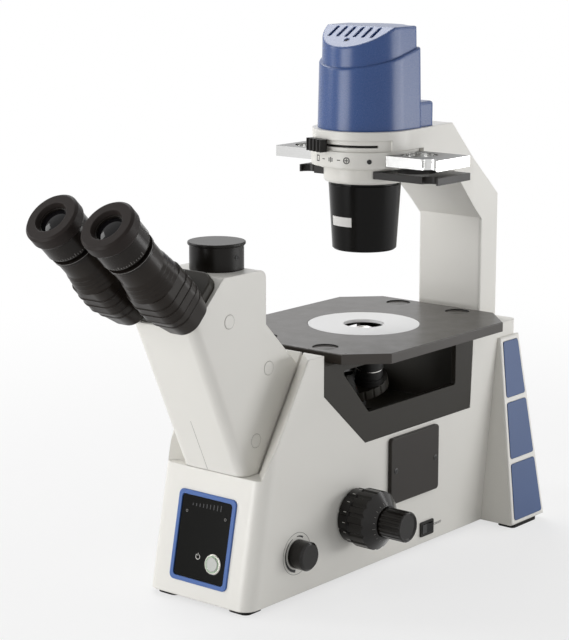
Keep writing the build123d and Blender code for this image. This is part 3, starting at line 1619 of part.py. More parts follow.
with BuildPart() as tension_ring:
    with BuildSketch(focus_axle):
        with BuildLine():
            Polyline(
                (bearing_radius + running_fit, ring_start_x),
                (tension_ring_radius - coarse_edge, ring_start_x),
                (tension_ring_radius, ring_start_x + coarse_edge),
                (tension_ring_radius, bearing_outer - coarse_edge),
                (tension_ring_radius - coarse_edge, bearing_outer),
                (bearing_radius + running_fit, bearing_outer),
                close=True,
            )
        make_face()
    revolve(axis=Axis(focus_axle.origin, focus_axle.y_dir))
    with BuildSketch(side_plane(ring_start_x, focus_y, focus_z)):
        with PolarLocations(tension_ring_radius + coarse_edge, coarse_lobes // 2):
            Circle(coarse_flute_radius)
    extrude(amount=bearing_outer - ring_start_x, mode=Mode.SUBTRACT)
write(tension_ring, "tension_ring")

# Focus guide and the carriage with its rack and turret pivot

rack_pitch = pi * gear_module
rack_root_y = focus_y + pitch_radius + tooth_dedendum
rack_tip_y = focus_y + pitch_radius - tooth_addendum
shelf_top = shelf_bottom + shelf_thickness
carriage_rear = guide_front - sliding_fit
cheek_inner = guide_half_width + sliding_fit
cheek_outer = cheek_inner + carriage_cheek

with BuildPart() as focus_guide:
    with BuildSketch(Plane.XY.offset(plate_top)):
        with Locations((pinion_x, guide_front + guide_depth / 2)):
            Rectangle(2 * guide_half_width, guide_depth)
    extrude(amount=guide_top - plate_top)
write(focus_guide, "focus_guide")

with BuildPart() as focus_carriage:
    with BuildSketch(Plane.XY.offset(carriage_bottom)):
        with Locations((pinion_x, (rack_root_y + carriage_rear) / 2)):
            Rectangle(2 * cheek_outer, carriage_rear - rack_root_y)
        for side in (1, -1):
            cheek_x = pinion_x + side * (cheek_inner + cheek_outer) / 2
            with Locations((cheek_x, carriage_rear + carriage_cheek_reach / 2)):
                Rectangle(carriage_cheek, carriage_cheek_reach)
    extrude(amount=shelf_top - carriage_bottom)
    with BuildSketch(Plane.XY.offset(shelf_bottom)):
        with BuildLine():
            Polyline(
                (pinion_x + cheek_outer, rack_root_y),
                (pinion_x + cheek_outer, carriage_rear),
                (post_half_width, post_rear),
                (-post_half_width, post_rear),
                (-post_half_width, post_front),
                (pinion_x - cheek_outer, rack_root_y),
                close=True,
            )
        make_face()
    extrude(amount=shelf_thickness)
    with BuildSketch(Plane.XY.offset(shelf_bottom)):
        with Locations((0, (post_front + post_rear) / 2)):
            Rectangle(2 * post_half_width, post_depth)
    extrude(amount=post_top - shelf_bottom)
    with BuildSketch(Plane.XY.offset(post_top - post_bracket)):
        with Locations((0, (post_front + bracket_reach) / 2)):
            Rectangle(2 * pivot_plate_radius, bracket_reach - post_front)
    extrude(amount=post_bracket)
    with BuildSketch(turret_plane.offset(-turret_thickness - swing_gap)):
        Circle(pivot_plate_radius)
    extrude(amount=-pivot_plate_thickness)
    with BuildSketch(turret_plane.offset(-turret_thickness - swing_gap)):
        Circle(pivot_radius)
    extrude(amount=turret_thickness + swing_gap)
    # Rack
    tooth_count = int((shelf_bottom - carriage_bottom) / rack_pitch) - 1
    first_tooth = focus_z + rack_pitch / 2 - rack_pitch * int((focus_z - carriage_bottom) / rack_pitch)
    with BuildSketch(side_plane(pinion_start)):
        for i in range(tooth_count):
            with Locations((0, first_tooth + i * rack_pitch)):
                Polygon(
                    (rack_root_y + tooth_tip_half, -tooth_root_half),
                    (rack_tip_y, -tooth_tip_half),
                    (rack_tip_y, tooth_tip_half),
                    (rack_root_y + tooth_tip_half, tooth_root_half),
                    align=None,
                )
    extrude(amount=pinion_width)
write(focus_carriage, "focus_carriage")

# Turret and objectives

turret_axis = Axis(turret_plane.origin, turret_plane.z_dir)
seat_fall = tan(radians(turret_tilt))
objective_step = 360.0 / len(objective_lengths)

with BuildPart() as thread_tool:
    with BuildSketch(Plane.XY.offset(objective_shoulder)):
        Circle(thread_radius)
    extrude(amount=2 * turret_thickness, both=True)

with BuildPart() as turret:
    turret_section = Plane(origin=turret_plane.origin, x_dir=(1, 0, 0), z_dir=-turret_plane.y_dir)
    with BuildSketch(turret_section):
        with BuildLine():
            Polyline(
                (pivot_radius + running_fit, -turret_thickness),
                (turret_radius, -turret_thickness),
                (turret_radius, (turret_pitch_radius - turret_radius) * seat_fall),
                (pivot_radius + running_fit, (turret_pitch_radius - pivot_radius - running_fit) * seat_fall),
                close=True,
            )
        make_face()
    revolve(axis=turret_axis)
    for i in range(len(objective_lengths)):
        add(thread_tool.part.rotate(turret_axis, i * objective_step), mode=Mode.SUBTRACT)
    with BuildSketch(turret_plane.offset(-turret_thickness)):
        with PolarLocations(turret_radius + turret_groove_radius / 2, turret_groove_count):
            Circle(turret_groove_radius)
    extrude(amount=turret_thickness, mode=Mode.SUBTRACT)
write(turret, "turret")


def make_objective(length, radius):
    """One objective in the working place: thread, collar, barrel and tapered nose with a lens recess."""
    shoulder = objective_shoulder
    return turn(
        Plane.XZ,
        (0, shoulder - thread_length),
        (thread_radius, shoulder - thread_length),
        (thread_radius, shoulder),
        (radius, shoulder),
        (radius, shoulder + objective_collar),
        (radius - objective_groove, shoulder + objective_collar),
        (radius - objective_groove, shoulder + objective_collar + objective_groove),
        (radius, shoulder + objective_collar + 2 * objective_groove),
        (radius, shoulder + length - objective_nose),
        (objective_tip_radius, shoulder + length),
        (objective_tip_radius - objective_lens_rim, shoulder + length),
        (objective_tip_radius - 2 * objective_lens_rim, shoulder + length - objective_groove),
        (0, shoulder + length - objective_groove),
    ).part


with BuildPart() as objectives:
    for i, (length, radius) in enumerate(zip(objective_lengths, objective_radii)):
        add(make_objective(length, radius).rotate(turret_axis, i * objective_step))
write(objectives, "objectives")
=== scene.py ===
"""Looks of an inverted microscope with a trinocular head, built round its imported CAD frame.

Lengths are metres in the frame of the part: the origin lies on the bench under the optical axis, +X points to
the user's right, +Y to the rear and +Z up. Each sub-assembly is a class that holds its sizes and finishes,
builds the small pieces that the solids leave to the finish, and dresses the solids that belong to it.
"""

import logging
import math
from dataclasses import dataclass
from enum import Enum
from typing import Any, ClassVar, Iterable, Sequence

import bmesh
import bpy
import numpy as np
from mathutils import Matrix, Vector


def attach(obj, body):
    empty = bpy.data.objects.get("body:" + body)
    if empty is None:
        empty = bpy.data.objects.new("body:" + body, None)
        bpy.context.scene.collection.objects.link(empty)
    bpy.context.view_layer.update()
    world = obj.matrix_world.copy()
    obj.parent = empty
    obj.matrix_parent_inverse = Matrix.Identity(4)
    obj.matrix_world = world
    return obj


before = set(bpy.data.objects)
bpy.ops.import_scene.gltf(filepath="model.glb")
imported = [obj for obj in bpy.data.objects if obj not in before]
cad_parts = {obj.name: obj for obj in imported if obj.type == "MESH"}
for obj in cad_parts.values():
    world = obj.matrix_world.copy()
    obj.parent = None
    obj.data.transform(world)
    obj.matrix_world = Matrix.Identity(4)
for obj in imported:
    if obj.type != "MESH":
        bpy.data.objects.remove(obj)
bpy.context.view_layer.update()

Array = np.ndarray
Numbers = np.ndarray | float
Colour = tuple[float, float, float]
Point = tuple[float, float, float]
Pair = tuple[float, float]
Profile = tuple[Pair, ...]
Surface = tuple[Array, Iterable[Sequence[int]]]

LOG = logging.getLogger("microscope")
X_AXIS: Point = (1.0, 0.0, 0.0)
Y_AXIS: Point = (0.0, 1.0, 0.0)
Z_AXIS: Point = (0.0, 0.0, 1.0)
ORIGIN: Point = (0.0, 0.0, 0.0)
QUARTER_TURN = math.pi / 2
FULL_TURN = 2.0 * math.pi
SEEN_RAYS = ("Is Camera Ray", "Is Glossy Ray", "Is Transmission Ray")
EDGE_SPREAD: Pair = (0.01, 0.25)
SHARP_EDGE = math.radians(35.0)
SEAM_GAP = 1e-7
LONG_EVERY = 5
SMALL_ROUND = 32
SIGN_ROUND = 40
OPEN_ROUND = 49
WIDE_ROUND = 72
SCALE_ROUND = 96
COLLAR_ROUND = 120
AXLE_TURN: Point = (0.0, QUARTER_TURN, 0.0)
FOCUS_AXLE: Point = (0.0, -0.095, 0.0615)
TURRET_MIDDLE: Point = (0.0, -0.023476, 0.172510)
TURRET_TILT = math.radians(12.0)
TURRET_TURN: Point = (TURRET_TILT, 0.0, 0.0)
BUTTON_MIDDLE: Point = (0.0156, -0.24, 0.0405)
BUTTON_TURN: Point = (math.radians(78.4), 0.0, 0.0)


def srgb(red: int, green: int, blue: int) -> Colour:
    """Linear colour of a screen colour given in steps of 0 to 255.

    Args:
        red: red step.
        green: green step.
        blue: blue step.

    Returns:
        The linear red, green and blue shares: ((s + 0.055) / 1.055) ** 2.4, or s / 12.92 near black.
    """
    share = np.array([red, green, blue]) / 255.0
    linear = np.where(share <= 0.04045, share / 12.92, ((share + 0.055) / 1.055) ** 2.4)
    return tuple(float(value) for value in linear)


def tinted(colour: Colour, share: float) -> Colour:
    """A colour made lighter or darker by a share."""
    return tuple(min(1.0, value * share) for value in colour)


class Body(str, Enum):
    """Rigid bodies of the frame that pieces ride on."""

    STAND = "stand"
    COARSE = "coarse_drive"
    TENSION = "tension_ring"
    TURRET = "turret"
    RIGHT_ARM = "right_arm"
    LEFT_ARM = "left_arm"
    RIGHT_DIOPTER = "right_diopter"
    LEFT_DIOPTER = "left_diopter"
    CAP = "photo_cap"


class Value:
    """A number, colour or vector that varies over a surface: one node socket with arithmetic."""

    def __init__(self, nodes: "Nodes", socket: bpy.types.NodeSocket) -> None:
        """Keep the socket and the tree that its nodes go into."""
        self.nodes = nodes
        self.socket = socket

    def _math(self, operation: str, *values: Any) -> "Value":
        """Result of one Math node with these inputs, numbers or values."""
        return self.nodes.node("ShaderNodeMath", {"operation": operation}, dict(enumerate(values)))

    def __add__(self, other: Any) -> "Value":
        """Sum."""
        return self._math("ADD", self, other)

    __radd__ = __add__

    def __rsub__(self, other: float) -> "Value":
        """Difference from a number."""
        return self._math("SUBTRACT", other, self)

    def __mul__(self, other: Any) -> "Value":
        """Product."""
        return self._math("MULTIPLY", self, other)

    def most(self, other: "Value") -> "Value":
        """Larger of this and another value."""
        return self._math("MAXIMUM", self, other)

    def length_with(self, other: "Value") -> "Value":
        """Length of the hypotenuse of this and another value."""
        return self._math("SQRT", self * self + other * other)

    def between(self, low: float, high: float) -> "Value":
        """Smooth step from 0 at low to 1 at high, clamped outside."""
        settings = {"interpolation_type": "SMOOTHSTEP", "clamp": True}
        return self.nodes.node("ShaderNodeMapRange", settings, {0: self, 1: low, 2: high, 3: 0.0, 4: 1.0})

    def around(self, middle: float, swing: float) -> "Value":
        """Number that swings about a middle as this goes from 0 to 1."""
        return middle - swing / 2 + self * swing


class Nodes:
    """A node tree, of a material or of the world."""

    def __init__(self, tree: bpy.types.NodeTree, output: str) -> None:
        """Clear the tree down to its output."""
        self.tree = tree
        self.tree.nodes.clear()
        self.output = self.tree.nodes.new(output).inputs["Surface"]

    def node(self, kind: str, settings: dict[str, Any] | None = None, inputs: dict[Any, Any] | None = None,
             output: int | str = 0) -> Value:
        """Add a node.

        Args:
            kind: the node's type.
            settings: its properties, set before its sockets.
            inputs: a number, colour or value for each socket by name or place.
            output: the output to return.

        Returns:
            The chosen output.
        """
        made = self.tree.nodes.new(kind)
        for key, value in (settings or {}).items():
            setattr(made, key, value)
        for key, value in (inputs or {}).items():
            self.feed(made.inputs[key], value)
        return Value(self, made.outputs[output])

    def feed(self, socket: bpy.types.NodeSocket, value: Any) -> None:
        """Link a value to a socket, or set a number or colour on it."""
        if isinstance(value, Value):
            self.tree.links.new(value.socket, socket)
        elif isinstance(value, tuple) and len(value) == 3 and socket.type == "RGBA":
            socket.default_value = (*value, 1.0)
        else:
            socket.default_value = value

    def seen(self) -> Value:
        """1 for the rays of the camera, of gloss and of glass, and 0 for the rest."""
        first, second, third = (self.node("ShaderNodeLightPath", output=name) for name in SEEN_RAYS)
        return first.most(second).most(third)


class Shader(Nodes):
    """One procedural material with a Principled surface."""

    def __init__(self, name: str) -> None:
        """Start a material that holds only its surface and its output."""
        self.material = bpy.data.materials.new(name)
        self.material.use_nodes = True
        super().__init__(self.material.node_tree, "ShaderNodeOutputMaterial")
        self.surface = self.tree.nodes.new("ShaderNodeBsdfPrincipled")
        self.feed(self.output, Value(self, self.surface.outputs[0]))

    def set(self, **sockets: Any) -> None:
        """Set or link the surface's sockets, named with underscores for spaces."""
        for key, value in sockets.items():
            self.feed(self.surface.inputs[key.replace("_", " ")], value)

    def coords(self, origin: Point = ORIGIN, turn: Point = ORIGIN) -> Value:
        """Object coordinates, from an origin and turned.

        Args:
            origin: the point that becomes zero, in metres.
            turn: Euler angles in radians of the pattern's own axes.

        Returns:
            The vector.
        """
        own = self.node("ShaderNodeTexCoord", output="Object")
        if origin == ORIGIN and turn == ORIGIN:
            return own
        return self.node("ShaderNodeMapping", {"vector_type": "TEXTURE"}, {0: own, 1: origin, 2: turn})

    def split(self, vector: Value) -> tuple[Value, Value, Value]:
        """The three numbers of a vector."""
        node = self.tree.nodes.new("ShaderNodeSeparateXYZ")
        self.feed(node.inputs[0], vector)
        return tuple(Value(self, node.outputs[i]) for i in range(3))

    def noise(self, scale: float, detail: float = 2.0, vector: Value | None = None) -> Value:
        """Soft noise from 0 to 1, scale in lumps per metre."""
        inputs = {"Vector": vector or self.coords(), "Scale": scale, "Detail": detail}
        return self.node("ShaderNodeTexNoise", None, inputs, "Fac")

    def mix(self, factor: Value, first: Any, second: Any) -> Value:
        """Colour between two colours."""
        return self.node("ShaderNodeMix", {"data_type": "RGBA"}, {0: factor, 6: first, 7: second}, 2)

    def shade(self, factor: Value, colour: Colour, tones: Pair) -> Value:
        """Colour between two tints of one colour."""
        return self.mix(factor, tinted(colour, tones[0]), tinted(colour, tones[1]))

    def rounded(self, radius: float) -> Value:
        """Normal with the edges of the solid rounded off."""
        return self.node("ShaderNodeBevel", {"samples": 4}, {"Radius": radius})

    def edge(self, radius: float) -> Value:
        """1 along the edges of the solid and 0 on its faces: 1 - rounded normal . true normal, spread out."""
        inputs = {0: self.rounded(radius), 1: self.node("ShaderNodeNewGeometry", output="True Normal")}
        dot = self.node("ShaderNodeVectorMath", {"operation": "DOT_PRODUCT"}, inputs, "Value")
        return (1.0 - dot).between(*EDGE_SPREAD)

    def relief(self, height: Value, depth: float, normal: Value) -> None:
        """Bump the surface over a normal, by a height from 0 to 1 that stands for a depth in metres."""
        inputs = {"Height": height, "Distance": depth, "Strength": 1.0, "Normal": normal}
        self.set(Normal=self.node("ShaderNodeBump", None, inputs))


@dataclass(frozen=True)
class Look:
    """A finish: its name, its main colour and the nodes that make it."""

    name: str
    colour: Colour

    def paint(self, shader: Shader) -> None:
        """Add the finish's nodes, which each kind does in its own way."""
        raise NotImplementedError

    def material(self) -> bpy.types.Material:
        """The finish's material, built at its first use."""
        if self.name not in bpy.data.materials:
            self.paint(Shader(self.name))
        return bpy.data.materials[self.name]


@dataclass(frozen=True)
class Enamel(Look):
    """Sprayed enamel on a casting: an even satin coat with a fine orange peel, and edges painted lighter,
    part wear and part painted highlight.
    """

    roughness: float = 0.4
    peel: float = 900.0
    peel_depth: float = 0.00003
    edge_radius: float = 0.0014
    gloss: float = 0.5
    coat: float = 0.12
    coat_roughness: float = 0.25
    clouds: float = 11.0
    cloud_tones: Pair = (0.97, 1.03)
    edge_wear_and_highlight_tone: float = 1.12
    edge_wear_and_highlight_share: float = 0.35
    mottle: float = 70.0
    mottle_swing: float = 0.1

    def paint(self, shader: Shader) -> None:
        """Add the clouds, the edges painted lighter for wear and as a painted highlight, the sheen and the
        peel.
        """
        tone = shader.shade(shader.noise(self.clouds, detail=3.0), self.colour, self.cloud_tones)
        # Painted highlight with wear: the edges are mixed towards a lighter tint of the colour.
        worn_and_highlighted = shader.edge(self.edge_radius) * self.edge_wear_and_highlight_share
        tone = shader.mix(worn_and_highlighted, tone, tinted(self.colour, self.edge_wear_and_highlight_tone))
        mottle = shader.noise(self.mottle).around(self.roughness, self.mottle_swing)
        shader.set(Base_Color=tone, Roughness=mottle, Specular_IOR_Level=self.gloss)
        shader.set(Coat_Weight=self.coat, Coat_Roughness=self.coat_roughness)
        shader.relief(shader.noise(self.peel), self.peel_depth, shader.rounded(self.edge_radius))


@dataclass(frozen=True)
class Moulding(Look):
    """Moulded plastic: a spark-eroded grain, painted a little brighter along its edges, part wear and part
    painted highlight.
    """

    roughness: float = 0.5
    grain: float = 2600.0
    grain_depth: float = 0.00004
    edge_radius: float = 0.0008
    gloss: float = 0.25
    coat: float = 0.0
    coat_roughness: float = 0.12
    clouds: float = 16.0
    cloud_tones: Pair = (0.92, 1.08)
    grain_tone: float = 1.3
    grain_share: float = 0.25
    grain_swing: float = 0.12
    edge_wear_and_highlight_tone: float = 1.7
    edge_wear_and_highlight_share: float = 0.4

    def paint(self, shader: Shader) -> None:
        """Add the clouds, the grain and the edges painted lighter for wear and as a painted highlight."""
        grain = shader.noise(self.grain, detail=3.0)
        tone = shader.shade(shader.noise(self.clouds), self.colour, self.cloud_tones)
        tone = shader.mix(grain * self.grain_share, tone, tinted(self.colour, self.grain_tone))
        # Painted highlight with wear: the edges are mixed towards a lighter tint of the colour.
        worn_and_highlighted = shader.edge(self.edge_radius) * self.edge_wear_and_highlight_share
        tone = shader.mix(worn_and_highlighted, tone, tinted(self.colour, self.edge_wear_and_highlight_tone))
        shader.set(Base_Color=tone, Roughness=grain.around(self.roughness, self.grain_swing))
        shader.set(Specular_IOR_Level=self.gloss, Coat_Weight=self.coat, Coat_Roughness=self.coat_roughness)
        shader.relief(grain, self.grain_depth, shader.rounded(self.edge_radius))


@dataclass(frozen=True)
class Turned(Look):
    """Metal turned on a lathe: fine grooves round an axis, each with its own sheen."""

    roughness: float = 0.28
    origin: Point = ORIGIN
    turn: Point = ORIGIN
    grooves: float = 3500.0
    metallic: float = 1.0
    groove_tones: Pair = (0.88, 1.06)
    groove_swing: float = 0.12
    groove_depth: float = 0.000006
    edge_radius: float = 0.0004

    def paint(self, shader: Shader) -> None:
        """Add the grooves: noise along the radius and along the axis only."""
        x, y, z = shader.split(shader.coords(self.origin, self.turn))
        inputs = {0: x.length_with(y) * self.grooves, 1: z * self.grooves}
        groove = shader.noise(1.0, vector=shader.node("ShaderNodeCombineXYZ", None, inputs))
        tone = shader.shade(groove, self.colour, self.groove_tones)
        sheen = groove.around(self.roughness, self.groove_swing)
        shader.set(Base_Color=tone, Roughness=sheen, Metallic=self.metallic)
        shader.relief(groove, self.groove_depth, shader.rounded(self.edge_radius))


@dataclass(frozen=True)
class Plated(Look):
    """Objective barrels: chrome noses over dark sleeves, parted at one height along the turret's axis."""

    lacquer: Colour
    origin: Point = TURRET_MIDDLE
    turn: Point = TURRET_TURN
    parting: float = 0.026
    fade: float = 0.0005
    polish: float = 900.0
    polish_tone: float = 0.92
    polish_swing: float = 0.06
    roughness: float = 0.38
    chrome_gain: float = 0.08
    gloss: float = 0.3
    edge_radius: float = 0.0004

    def paint(self, shader: Shader) -> None:
        """Add the plating, which starts within half a millimetre of the parting."""
        height = shader.split(shader.coords(self.origin, self.turn))[2]
        plated = height.between(self.parting, self.parting + self.fade)
        polish = shader.noise(self.polish)
        tone = shader.mix(plated, self.lacquer, shader.shade(polish, self.colour, (1.0, self.polish_tone)))
        sheen = self.roughness - plated * self.chrome_gain + polish * self.polish_swing
        shader.set(Base_Color=tone, Metallic=plated, Roughness=sheen)
        shader.set(Specular_IOR_Level=self.gloss, Normal=shader.rounded(self.edge_radius))


@dataclass(frozen=True)
class Brushed(Look):
    """Metal brushed along one direction, then clear anodised."""

    roughness: float = 0.3
    stretch: Point = (60.0, 4000.0, 4000.0)
    metallic: float = 1.0
    dull_shaded_above: float = 9.0
    dull_shaded_fade: float = 0.0001
    painted_top_shade: float = 0.36
    dull_roughness: float = 0.25
    dull_metal: float = 0.8
    line_tones: Pair = (0.9, 1.05)
    line_swing: float = 0.14
    line_depth: float = 0.000008
    edge_radius: float = 0.0004

    def paint(self, shader: Shader) -> None:
        """Add the brushing: noise drawn out along one direction; above one height the metal is duller and its
        colour darkened as a painted shade.
        """
        own = shader.coords()
        drawn = shader.node("ShaderNodeVectorMath", {"operation": "MULTIPLY"}, {0: own, 1: self.stretch})
        lines = shader.noise(1.0, detail=3.0, vector=drawn)
        # Painted shade: above this height the top face is darkened, and also made rougher and less metallic.
        dull_shaded_top = shader.split(own)[2].between(self.dull_shaded_above - self.dull_shaded_fade, self.dull_shaded_above)
        tone = shader.shade(lines, self.colour, self.line_tones)
        tone = shader.mix(dull_shaded_top, tone, tinted(self.colour, self.painted_top_shade))
        sheen = lines.around(self.roughness, self.line_swing) + dull_shaded_top * self.dull_roughness
        shader.set(Base_Color=tone, Roughness=sheen, Metallic=self.metallic - dull_shaded_top * self.dull_metal)
        shader.relief(lines, self.line_depth, shader.rounded(self.edge_radius))


@dataclass(frozen=True)
class Glass(Look):
    """Polished glass, clear or opal, with a faint film that only its gloss shows."""

    roughness: float
    film: float
    clear: float = 1.0
    film_size: float = 35.0
    film_tones: Pair = (1.0, 0.97)
    film_step: Pair = (0.55, 0.8)
    index: float = 1.52

    def paint(self, shader: Shader) -> None:
        """Add the film and the clear share."""
        film = shader.noise(self.film_size, detail=4.0)
        sheen = self.roughness + film.between(*self.film_step) * self.film
        shader.set(Base_Color=shader.shade(film, self.colour, self.film_tones), Roughness=sheen)
        shader.set(Transmission_Weight=self.clear, IOR=self.index)


@dataclass(frozen=True)
class Coated(Look):
    """Lens glass: a deep tone painted for the darkness behind it, under a strong gloss, with the tint of its
    coating painted in as a reflection.
    """

    tint: Colour
    turning: float = 0.35
    film: float = 80.0
    roughness: float = 0.05
    film_gain: float = 0.03
    gloss: float = 0.2

    def paint(self, shader: Shader) -> None:
        """Add the coating's tint as a painted reflection, gathered where the surface turns away."""
        facing = shader.node("ShaderNodeLayerWeight", None, {"Blend": self.turning}, "Facing")
        sheen = self.roughness + shader.noise(self.film) * self.film_gain
        # Painted shade and reflection: near black facing the eye, the coating's lighter tint towards the rim.
        shader.set(Base_Color=shader.mix(facing, self.colour, self.tint), Roughness=sheen)
        shader.set(Specular_IOR_Level=self.gloss)


@dataclass(frozen=True)
class Ink(Look):
    """Printed ink: nearly even, with a little loss at the grain of the surface under it."""

    roughness: float = 0.5
    speck: float = 5000.0
    speck_tones: Pair = (0.85, 1.1)
    speck_swing: float = 0.1

    def paint(self, shader: Shader) -> None:
        """Add the specks."""
        speck = shader.noise(self.speck)
        tone = shader.shade(speck, self.colour, self.speck_tones)
        shader.set(Base_Color=tone, Roughness=speck.around(self.roughness, self.speck_swing))


@dataclass(frozen=True)
class Glow(Look):
    """A small lit window with specks of dimmer light."""

    strength: float
    speck: float = 900.0
    speck_tones: Pair = (0.8, 1.0)
    roughness: float = 0.3

    def paint(self, shader: Shader) -> None:
        """Add the specks and the light."""
        tone = shader.shade(shader.noise(self.speck, detail=1.0), self.colour, self.speck_tones)
        shader.set(Base_Color=tone, Roughness=self.roughness)
        shader.set(Emission_Color=tone, Emission_Strength=self.strength)


class Finish(Enum):
    """Finishes of the pieces, each made once.

    A moulding's numbers are its roughness, grain to the metre, depth of grain, edge radius, gloss and coat.
    """

    WHITE = Enamel("white_enamel", srgb(226, 224, 218))
    BLACK_ENAMEL = Enamel("black_enamel", srgb(41, 38, 32), 0.42, 1500.0, gloss=0.2, coat=0.0)
    STAGE = Enamel("stage_enamel", srgb(46, 40, 34), 0.3, 2200.0, 0.00001, 0.0008, coat=0.0)
    DARK_SLIDER = Enamel("slider_black", srgb(28, 26, 24), 0.36, 1800.0, 0.00001, 0.0006, 0.3, 0.0)
    LAMP = Moulding("lamp_moulding", srgb(53, 80, 133), 0.27, 1800.0, 0.000001, 0.0022, 0.36)
    LEG_PANEL = Moulding("leg_panel_moulding", srgb(57, 82, 127), 0.36, 2200.0, 0.000004, 0.0009, 0.26)
    BEZEL = Moulding("bezel_moulding", srgb(64, 98, 160), 0.36, 2200.0, 0.000004, 0.0006, 0.35)
    BLACK = Moulding("black_moulding", srgb(24, 22, 20), 0.4, 2600.0, 0.00002, 0.0008, 0.2)
    SOFT_BLACK = Moulding("soft_black_moulding", srgb(36, 31, 27), 0.3, 1900.0, 0.000015, 0.0012, 0.16)
    COVER = Moulding("cover_moulding", srgb(54, 51, 48), 0.42, 1500.0, 0.00003, 0.0008, 0.16)
    CAP = Moulding("cap_moulding", srgb(20, 17, 14), 0.32, 1900.0, 0.00001, 0.0012, 0.2)
    KNOB = Moulding("knob_moulding", srgb(18, 15, 12), 0.2, 2400.0, 0.000004, 0.0007, 0.34)
    GLOSS = Moulding("rocker_gloss", srgb(12, 12, 12), 0.16, 700.0, 0.000004, 0.0006, 0.3, 0.2)
    CUP = Moulding("cup_black", srgb(10, 9, 8), 0.24, 900.0, 0.000002, 0.0008, 0.13)
    PANEL = Moulding("panel_film", srgb(8, 8, 6), 0.2, 1200.0, 0.000002, 0.0004, 0.09)
    RUBBER = Moulding("eyecup_rubber", srgb(40, 35, 33), 0.42, 3200.0, 0.00002, 0.0012, 0.1)
    FOOT = Moulding("foot_rubber", srgb(30, 29, 29), 0.8, 2600.0, 0.00009, 0.001)
    OCULAR = Moulding("ocular_anodised", srgb(30, 26, 23), 0.26, 3800.0, 0.000006, 0.0007, 0.17)
    # The slider's top face, above this height, carries a painted shade.
    SLIDER = Brushed("slider_aluminium", srgb(212, 212, 211), 0.16, dull_shaded_above=0.3939)
    ALUMINIUM = Brushed("milled_aluminium", srgb(215, 215, 216), 0.34)
    STEEL_GUIDE = Brushed("guide_steel", srgb(180, 178, 175), 0.3, (4000.0, 4000.0, 80.0))
    AXLE_STEEL = Turned("axle_steel", srgb(190, 188, 185), 0.26, FOCUS_AXLE, AXLE_TURN)
    BEARING = Turned("bearing_black_oxide", srgb(48, 46, 44), 0.34, FOCUS_AXLE, AXLE_TURN, metallic=0.5)
    BUTTON = Turned("button_steel", srgb(206, 204, 196), 0.16, BUTTON_MIDDLE, BUTTON_TURN)
    BUTTON_FACE = Turned("button_face", srgb(142, 143, 140), 0.4, BUTTON_MIDDLE, BUTTON_TURN)
    CHROME = Turned("trim_chrome", srgb(214, 212, 208), 0.2, grooves=2500.0)
    TUBE = Turned("photo_tube_steel", srgb(200, 199, 197), 0.28, (0.0, -0.2177, 0.0))
    MIRROR = Turned("mirror_silver", srgb(238, 238, 240), 0.03, grooves=300.0)
    SCREW = Turned("screw_black", srgb(26, 25, 24), 0.4, turn=AXLE_TURN, grooves=2500.0, metallic=0.2)
    BARREL = Plated("objective_barrel", srgb(226, 224, 220), srgb(24, 23, 22))
    INSERT = Glass("insert_glass", (0.985, 0.985, 0.985), 0.04, 0.05, 0.1)
    LENS = Glass("lens_glass", (0.97, 0.98, 0.97), 0.01, 0.03)
    EYE_LENS = Coated("eye_lens_coating", srgb(7, 7, 7), srgb(22, 20, 24))
    LABEL = Ink("label_film", srgb(222, 220, 217), 0.4)
    WHITE_INK = Ink("white_ink", srgb(205, 203, 198))
    GREY_INK = Ink("grey_ink", srgb(120, 118, 115))
    DIM_INK = Ink("dim_ink", srgb(50, 50, 52))
    BLACK_INK = Ink("black_ink", srgb(26, 25, 25))
    SEAM = Ink("seam_shadow", srgb(160, 158, 154), 0.8)
    # Near black: the own colour of the small dark screw heads, and a painted shade in the cross recesses of
    # the cover screws and in the gaps round the stage plugs.
    DARK_SCREW_AND_SHADE = Ink("dark_screw_and_recess_shade", srgb(12, 12, 12), 0.6)
    YELLOW_BAND = Ink("yellow_band", srgb(226, 190, 60), 0.4)
    GREEN_BAND = Ink("green_band", srgb(70, 150, 80), 0.4)
    BLUE_BAND = Ink("blue_band", srgb(70, 140, 190), 0.4)
    RED_BAND = Ink("red_band", srgb(190, 60, 52), 0.4)
    GREEN_LIGHT = Glow("button_light", srgb(104, 148, 108), 0.12)


Finishes = dict[Finish, tuple[str, ...]]


@dataclass
class Place:
    """A point with three axes square to one another, in metres."""

    origin: Array
    across: Array
    up: Array
    out: Array

    @classmethod
    def facing(cls, origin: Sequence[float], out: Sequence[float], across: Sequence[float]) -> "Place":
        """Place that looks along out, with its first axis near across.

        Args:
            origin: the point.
            out: direction of the third axis.
            across: rough direction of the first axis.

        Returns:
            The place, with unit axes.
        """
        normal = np.array(out, float) / np.linalg.norm(out)
        first = np.array(across, float) - normal * np.dot(across, normal)
        first /= np.linalg.norm(first)
        return cls(np.array(origin, float), first, np.cross(normal, first), normal)

    @classmethod
    def on_cylinder(cls, middle: Point, radius: float, degrees: float) -> "Place":
        """Place at an angle from +X round an upright axis, looking away from it, with up along the axis."""
        away = np.array([math.cos(math.radians(degrees)), math.sin(math.radians(degrees)), 0.0])
        return cls.facing(middle + radius * away, away, np.cross(Z_AXIS, away))

    def way(self, x: Numbers, y: Numbers, z: Numbers) -> Array:
        """Directions of the place's own coordinates, in the frame: x across + y up + z out."""
        x, y, z = (np.asarray(part, float)[..., None] for part in np.broadcast_arrays(x, y, z))
        return x * self.across + y * self.up + z * self.out

    def at(self, x: Numbers, y: Numbers, z: Numbers) -> Array:
        """Points of the place's own coordinates, in the frame: origin + x across + y up + z out."""
        return self.origin + self.way(x, y, z)

    def shifted(self, x: float, y: float, z: float) -> "Place":
        """Place with the same axes at another of its points."""
        return Place(self.at(x, y, z), self.across, self.up, self.out)


